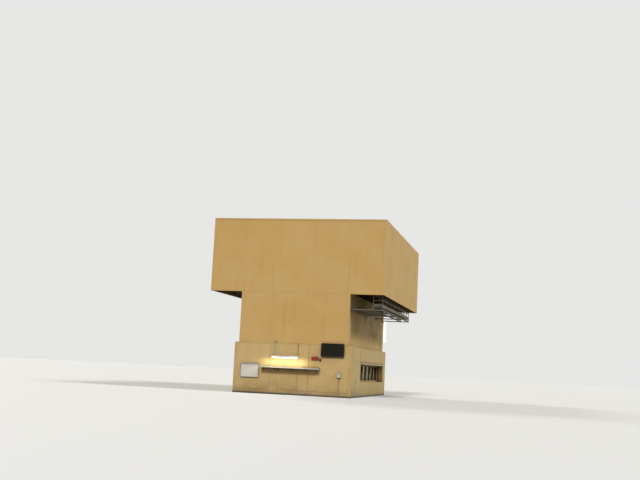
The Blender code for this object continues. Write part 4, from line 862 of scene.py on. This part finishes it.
# %% Work lamp details
lamp_low, lamp_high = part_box("work_lamp_tube")
lamp = centre("work_lamp_tube")
HOOD_UNDERSIDE = 2.3
CONDUIT_X, CONDUIT_Y, CONDUIT_CLIPS = -1.14, COVER_FACE - 0.014, (2.52, 2.78, 3.02)
bar((lamp_low.x + 0.05, lamp.y - 0.055, HOOD_UNDERSIDE - 0.004),
    (lamp_high.x - 0.05, lamp.y + 0.045, HOOD_UNDERSIDE + 0.0005), edge=0.001)
finished("lamp_reflector", reflector)
for x in (lamp_low.x + 0.014, lamp_high.x - 0.014):
    disc((x, lamp.y, lamp.z), (1, 0, 0), 0.0205, 0.028)
finished("tube_end_caps", zinc_plate)
for z in CONDUIT_CLIPS:
    plate(CONDUIT_X, z, 0.024, 0.009, COVER_FACE + 0.001, COVER_FACE - 0.031, 0.003)
    screws([(CONDUIT_X + s * 0.034, COVER_FACE, z) for s in (-1, 1)], NEAR, radius=0.005, height=0.004)
disc((CONDUIT_X, CONDUIT_Y, 2.4175), UP, 0.021, 0.035, 14, 0.018)
finished("conduit_clips", zinc_plate)

# %% Screen: glossy panel behind its bezel, and sensor
screen_low, screen_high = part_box("display_screen")
BEZEL, SENSOR_X = 0.017, (2.53, 2.61)
bar((screen_low.x + BEZEL, screen_low.y + 0.0015, screen_low.z + BEZEL),
    (screen_high.x - BEZEL, screen_low.y + 0.006, screen_high.z - BEZEL), edge=0.0006)
finished("screen_panel", panel_glass)
bar((SENSOR_X[0], screen_low.y - 0.004, screen_low.z + 0.002),
    (SENSOR_X[1], screen_low.y + 0.004, screen_low.z + 0.013))
finished("screen_sensor", rubber)

# %% [markdown]
# Key switch beside the sign
#
# Right of the red sign hangs a small dark box. It reads as a key switch: a cast box with a lid and a lock.

# %% Key switch
SWITCH_X, SWITCH_Z, SWITCH_FACE = 1.80, 2.24, COVER_FACE - 0.065
LID_FACE = SWITCH_FACE - 0.012
plate(SWITCH_X, SWITCH_Z, 0.05, 0.07, COVER_FACE + 0.001, SWITCH_FACE, 0.006, 3)
plate(SWITCH_X, SWITCH_Z, 0.054, 0.074, SWITCH_FACE + 0.004, LID_FACE, 0.005, 3)
finished("key_switch_box", rubber)
disc((SWITCH_X, LID_FACE - 0.004, SWITCH_Z + 0.015), NEAR, 0.016, 0.012, 24, 0.018)
plate(SWITCH_X, SWITCH_Z + 0.015, 0.002, 0.012, LID_FACE - 0.008, LID_FACE - 0.018, 0.0005)
for z in (SWITCH_Z - 0.055, SWITCH_Z + 0.058):
    screws([(SWITCH_X + s * 0.038, LID_FACE, z) for s in (-1, 1)], NEAR, 0.004, 0.003)
finished("key_switch_lock", zinc_plate)

# %% Board: frame and rail
board_low, board_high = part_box("notice_board")
frame_ring((centre("notice_board").x, board_low.y + 0.004, centre("notice_board").z),
           (board_high.x - board_low.x, board_high.z - board_low.z), 0.042, 0.012, NEAR, 0.003)
bar((board_low.x + 0.03, board_low.y - 0.02, board_high.z - 0.075),
    (board_high.x - 0.03, board_low.y + 0.002, board_high.z - 0.02), edge=0.003)
finished("board_frame", alloy)

# %% Control box: yellow ring, lid seam, screws and conduit gland
control_low, control_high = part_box("control_box")
control, button = centre("control_box"), centre("stop_button")
RING_RADII, LID_SIZE, DROP_Y = (0.046, 0.013), (0.206, 0.326), -7.925
face = seat((button.x, control_low.y - 0.0003, button.z), NEAR)
for radius in RING_RADII:
    bmesh.ops.create_circle(bm, cap_ends=False, segments=40, radius=radius, matrix=face)
bmesh.ops.bridge_loops(bm, edges=bm.edges[:])
bmesh.ops.solidify(bm, geom=bm.faces[:], thickness=0.0002)
finished("stop_button_ring", yellow)
frame_ring((control.x, control_low.y + 0.001, control.z), LID_SIZE, 0.006, 0.003, NEAR)
rows = border(control_low.x, control_low.z, control_high.x, control_high.z, 0.022, 0.4)
screws([(x, control_low.y, z) for x, z in rows], NEAR, radius=0.006, height=0.004)
disc((button.x, DROP_Y, control_low.z - 0.014), UP, 0.02, 0.03, 6)
finished("control_box_fittings", zinc_plate)

# %% [markdown]
# A conduit is a bent tube
#
# Steel conduit runs from the control box to the floor. A run with several bends is quickest as a curve with a
# round profile, which is then made a mesh.


# %% Conduit
def conduit(name, points, radius, material):
    """A tube through the points, made a mesh with its place in the mesh."""
    line = bpy.data.curves.new(name, "CURVE")
    line.dimensions, line.bevel_depth, line.bevel_resolution = "3D", radius, 3
    line.use_fill_caps = True
    spline = line.splines.new("POLY")
    spline.points.add(len(points) - 1)
    for point, place in zip(spline.points, points):
        point.co = (*place, 1)
    holder = bpy.data.objects.new(name, line)
    mesh = bpy.data.meshes.new_from_object(holder)
    bpy.data.objects.remove(holder)
    bm.from_mesh(mesh)
    bpy.data.meshes.remove(mesh)
    finished(name, material, smooth=True)


def bend(corner, start, end, reach, steps=5):
    """Points of a round bend at a corner between two directions."""
    a, b, c = (Vector(v) for v in (start, corner, end))
    first = b + (a - b).normalized() * reach
    last = b + (c - b).normalized() * reach
    return [first.lerp(b, t).lerp(b.lerp(last, t), t) for t in (i / steps for i in range(steps + 1))]


WALL_Y = COVER_FACE - 0.016
start, upper, lower, end = ((button.x, y, z) for y, z in (
    (DROP_Y, control_low.z - 0.02), (DROP_Y, 1.09), (WALL_Y, 0.98), (WALL_Y, 0.02)))
run = [start, *bend(upper, start, lower, 0.035), *bend(lower, upper, end, 0.035), end]
conduit("stop_control_conduit", run, 0.0125, zinc_plate)
for z in (0.25, 0.6, 0.9):
    plate(button.x, z, 0.022, 0.009, COVER_FACE + 0.001, COVER_FACE - 0.031, 0.003)
finished("stop_conduit_clips", zinc_plate)

# %% [markdown]
# Gangway grating and rail fittings
#
# The solids carry the cross bars of the deck. A real grating has bearing bars every few centimetres between
# them. They are thin, so each is one cube without bevels. Kick boards and post feet finish it, and end plates
# bolt its brackets to the body.

# %% Grating, kick boards and post feet
deck_low, deck_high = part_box("gangway_deck")
rail_low, rail_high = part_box("gangway_railing")
DECK_TOP, RAIL_X, RAIL_END_X = deck_high.z, 5.47, 4.9
GRATING_X, GRATING_Y = (4.985, 5.385), (deck_low.y + 0.03, deck_high.y - 0.03)
GRATING_TOP, GRATING_DEPTH, BEARING_PITCH = DECK_TOP - 0.06, 0.03, 0.034
for x in along(*GRATING_X, BEARING_PITCH):
    made = bmesh.ops.create_cube(bm, size=1.0)["verts"]
    bmesh.ops.scale(bm, vec=(0.004, GRATING_Y[1] - GRATING_Y[0], GRATING_DEPTH - 0.002), verts=made)
    bmesh.ops.translate(bm, vec=(x, sum(GRATING_Y) / 2, GRATING_TOP - GRATING_DEPTH / 2), verts=made)
finished("grating_bars", galvanised)

BOARD_Z = (DECK_TOP + 0.002, DECK_TOP + 0.1)
bar((RAIL_X - 0.026, rail_low.y + 0.03, BOARD_Z[0]), (RAIL_X - 0.021, rail_high.y - 0.03, BOARD_Z[1]),
    edge=0.001)
for y in (rail_low.y + 0.026, rail_high.y - 0.031):
    bar((RAIL_END_X + 0.005, y, BOARD_Z[0]), (RAIL_X - 0.02, y + 0.005, BOARD_Z[1]), edge=0.001)
finished("kick_boards", steelwork_paint)

POST_Y, FOOT_TOP = along(rail_low.y + 0.021, rail_high.y - 0.021, 1.21), DECK_TOP + 0.008
for y in POST_Y:
    bar((RAIL_X - 0.03, y - 0.045, DECK_TOP), (RAIL_X + 0.029, y + 0.045, FOOT_TOP), edge=0.001)
    screws([(RAIL_X, y + s * 0.034, FOOT_TOP) for s in (-1, 1)], UP, radius=0.006, height=0.006)
for y in (POST_Y[0], POST_Y[-1]):
    bar((RAIL_END_X - 0.029, y - 0.03, DECK_TOP), (RAIL_END_X + 0.03, y + 0.03, FOOT_TOP), edge=0.001)
finished("post_feet", steelwork_paint)

# %% Bracket plates
PLATE_X, PLATE_Z, PLATE_HALF, BOLT_Z = (3.5005, 3.512), (5.34, 5.52), 0.06, (5.355, 5.505)
ARM_Y = along(deck_low.y + 0.0306, deck_high.y - 0.0306, 3.0)
for y in ARM_Y:
    y = min(max(y, deck_low.y + PLATE_HALF), deck_high.y - PLATE_HALF)
    bar((PLATE_X[0], y - PLATE_HALF, PLATE_Z[0]), (PLATE_X[1], y + PLATE_HALF, PLATE_Z[1]))
    screws([(PLATE_X[1], y + s * 0.045, z) for s in (-1, 1) for z in BOLT_Z], (1, 0, 0), radius=0.01)
finished("bracket_plates", steelwork_paint)

# %% [markdown]
# Air grilles on the far end
#
# The far end isn't in the photo. It gets a frame round each of its two air grilles.

# %% Grille frames
GRILLE_X, GRILLE_Z, GRILLE_SIZE = 3.0, 8.9, (2.66, 1.36)
FAR_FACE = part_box("roof")[1].y
for side in (-1, 1):
    frame_ring((side * GRILLE_X, FAR_FACE - 0.004, GRILLE_Z), GRILLE_SIZE, 0.05, 0.0035, (0, 1, 0))
finished("grille_frames", trim_paint)

# %% [markdown]
# Milky cover of the corner lamp
#
# In the photo the upright lamp is a broad even strip, so its tube has a milky cover: a cylinder cut in half
# along its length, with the flat side on the housing.

# %% Corner lamp cover
housing_low, housing_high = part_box("corner_lamp")
COVER_RADIUS, FLAT_Y, COVER_END = 0.078, 5.0595, 0.03
middle = (centre("corner_lamp_tube").x, FLAT_Y, centre("corner_lamp").z)
disc(middle, UP, COVER_RADIUS, housing_high.z - housing_low.z - 2 * COVER_END, 36)
cut = bmesh.ops.bisect_plane(bm, geom=bm.verts[:] + bm.edges[:] + bm.faces[:], plane_co=middle,
                             plane_no=(0, 1, 0), clear_outer=True)["geom_cut"]
bmesh.ops.holes_fill(bm, edges=[edge for edge in cut if isinstance(edge, bmesh.types.BMEdge)])
finished("corner_lamp_cover", milky_cover)

# %% [markdown]
# Glow of the work lamp
#
# Light from the small tube alone would be grainy. A long soft area lamp just under the hood gives the warm
# glow on the wall and the shelf without grain.

# %% Lamp glow
GLOW_Y, GLOW_DROP, GLOW_TILT, GLOW_WATTS = -8.36, 0.14, math.radians(24), 26
glow = bpy.data.objects.new("work_lamp_glow", bpy.data.lights.new("work_lamp_glow", "AREA"))
glow.data.shape, glow.data.size, glow.data.size_y = "RECTANGLE", 2.4, 0.1
glow.data.energy, glow.data.color = GLOW_WATTS, (1.0, 0.9, 0.7)
glow.matrix_world = (Matrix.Translation((lamp.x, GLOW_Y, lamp_low.z - GLOW_DROP))
                     @ Matrix.Rotation(GLOW_TILT, 4, "X"))
show(glow)
print("glow at", tuple(round(v, 2) for v in glow.matrix_world.translation))

# %% [markdown]
# Cables above the lamp and the junction box
#
# Two thin lines run from the lamp up to the step of the base cladding, one at each end. The left one is the
# conduit of the solids, and a short bent tube takes it over the step and into a small junction box. The right
# one is a cable with its own clips, which bends over the step and goes through the wall.

# %% Lamp cable and junction box
BOX_X, BOX_Z, BOX_FACE = CONDUIT_X + 0.05, 3.33, HEAD_FACE - 0.064
GLAND_Y = HEAD_FACE - 0.028
plate(BOX_X, BOX_Z, 0.075, 0.055, HEAD_FACE + 0.001, HEAD_FACE - 0.055, 0.006, 3)
plate(BOX_X, BOX_Z, 0.079, 0.059, HEAD_FACE - 0.05, BOX_FACE, 0.004)
screws([(BOX_X + a * 0.062, BOX_FACE, BOX_Z + b * 0.042) for a in (-1, 1) for b in (-1, 1)], NEAR,
       0.004, 0.003)
disc((CONDUIT_X, GLAND_Y, BOX_Z - 0.066), UP, 0.017, 0.03, 16, 0.02)
finished("junction_box", body_paint)

lower, upper = (CONDUIT_X, CONDUIT_Y, 3.175), (CONDUIT_X, GLAND_Y, 3.235)
start, end = (CONDUIT_X, CONDUIT_Y, 3.05), (CONDUIT_X, GLAND_Y, BOX_Z - 0.06)
conduit("lamp_conduit_top", [start, *bend(lower, start, upper, 0.03), *bend(upper, lower, end, 0.03), end],
        0.014, zinc_plate)

CABLE_X, CABLE_Y, CABLE_Z = 0.375, COVER_FACE - 0.004, (2.385, 3.168)
start, corner = ((CABLE_X, CABLE_Y, z) for z in CABLE_Z)
end = (CABLE_X, HEAD_FACE + 0.002, CABLE_Z[1])
conduit("lamp_cable_right", [start, *bend(corner, start, end, 0.02), end], 0.008, rubber)
for z in (2.5, 2.72, 2.94):
    plate(CABLE_X, z, 0.02, 0.008, COVER_FACE + 0.006, COVER_FACE - 0.014, 0.002)
finished("lamp_cable_clips", zinc_plate)

# %% [markdown]
# Grey sheet on the ledge over the gates
#
# The ledge over each gate opening shows light grey on top, with a turned-down lip. It is a folded sheet that
# lies on the ledge of the solids, held by screws in its lip.

# %% Ledge sheets
LEDGE_Y, LEDGE_TOP, LIP_HEIGHT, SHEET_DEPTH, SHEET_SUNK = (-4.76, 4.12), 2.16, 0.042, 0.003, 0.0005
LEDGE_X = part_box("base_side_right")[1].x
for side in (-1, 1):
    lip_face = side * (LEDGE_X + SHEET_DEPTH)
    fold = (lip_face, LEDGE_Y[1], LEDGE_TOP + SHEET_DEPTH)
    bar((side * (SIDE_COVER_FACE + 0.001), LEDGE_Y[0], LEDGE_TOP - SHEET_SUNK), fold, edge=0.0008)
    bar((side * (LEDGE_X - SHEET_SUNK), LEDGE_Y[0], LEDGE_TOP - LIP_HEIGHT), fold, edge=0.0008)
    rows = along(LEDGE_Y[0] + 0.1, LEDGE_Y[1] - 0.1, 0.8)
    screws([(lip_face, y, LEDGE_TOP - 0.02) for y in rows], (side, 0, 0), 0.006, 0.004)
finished("ledge_sheets", box_paint)
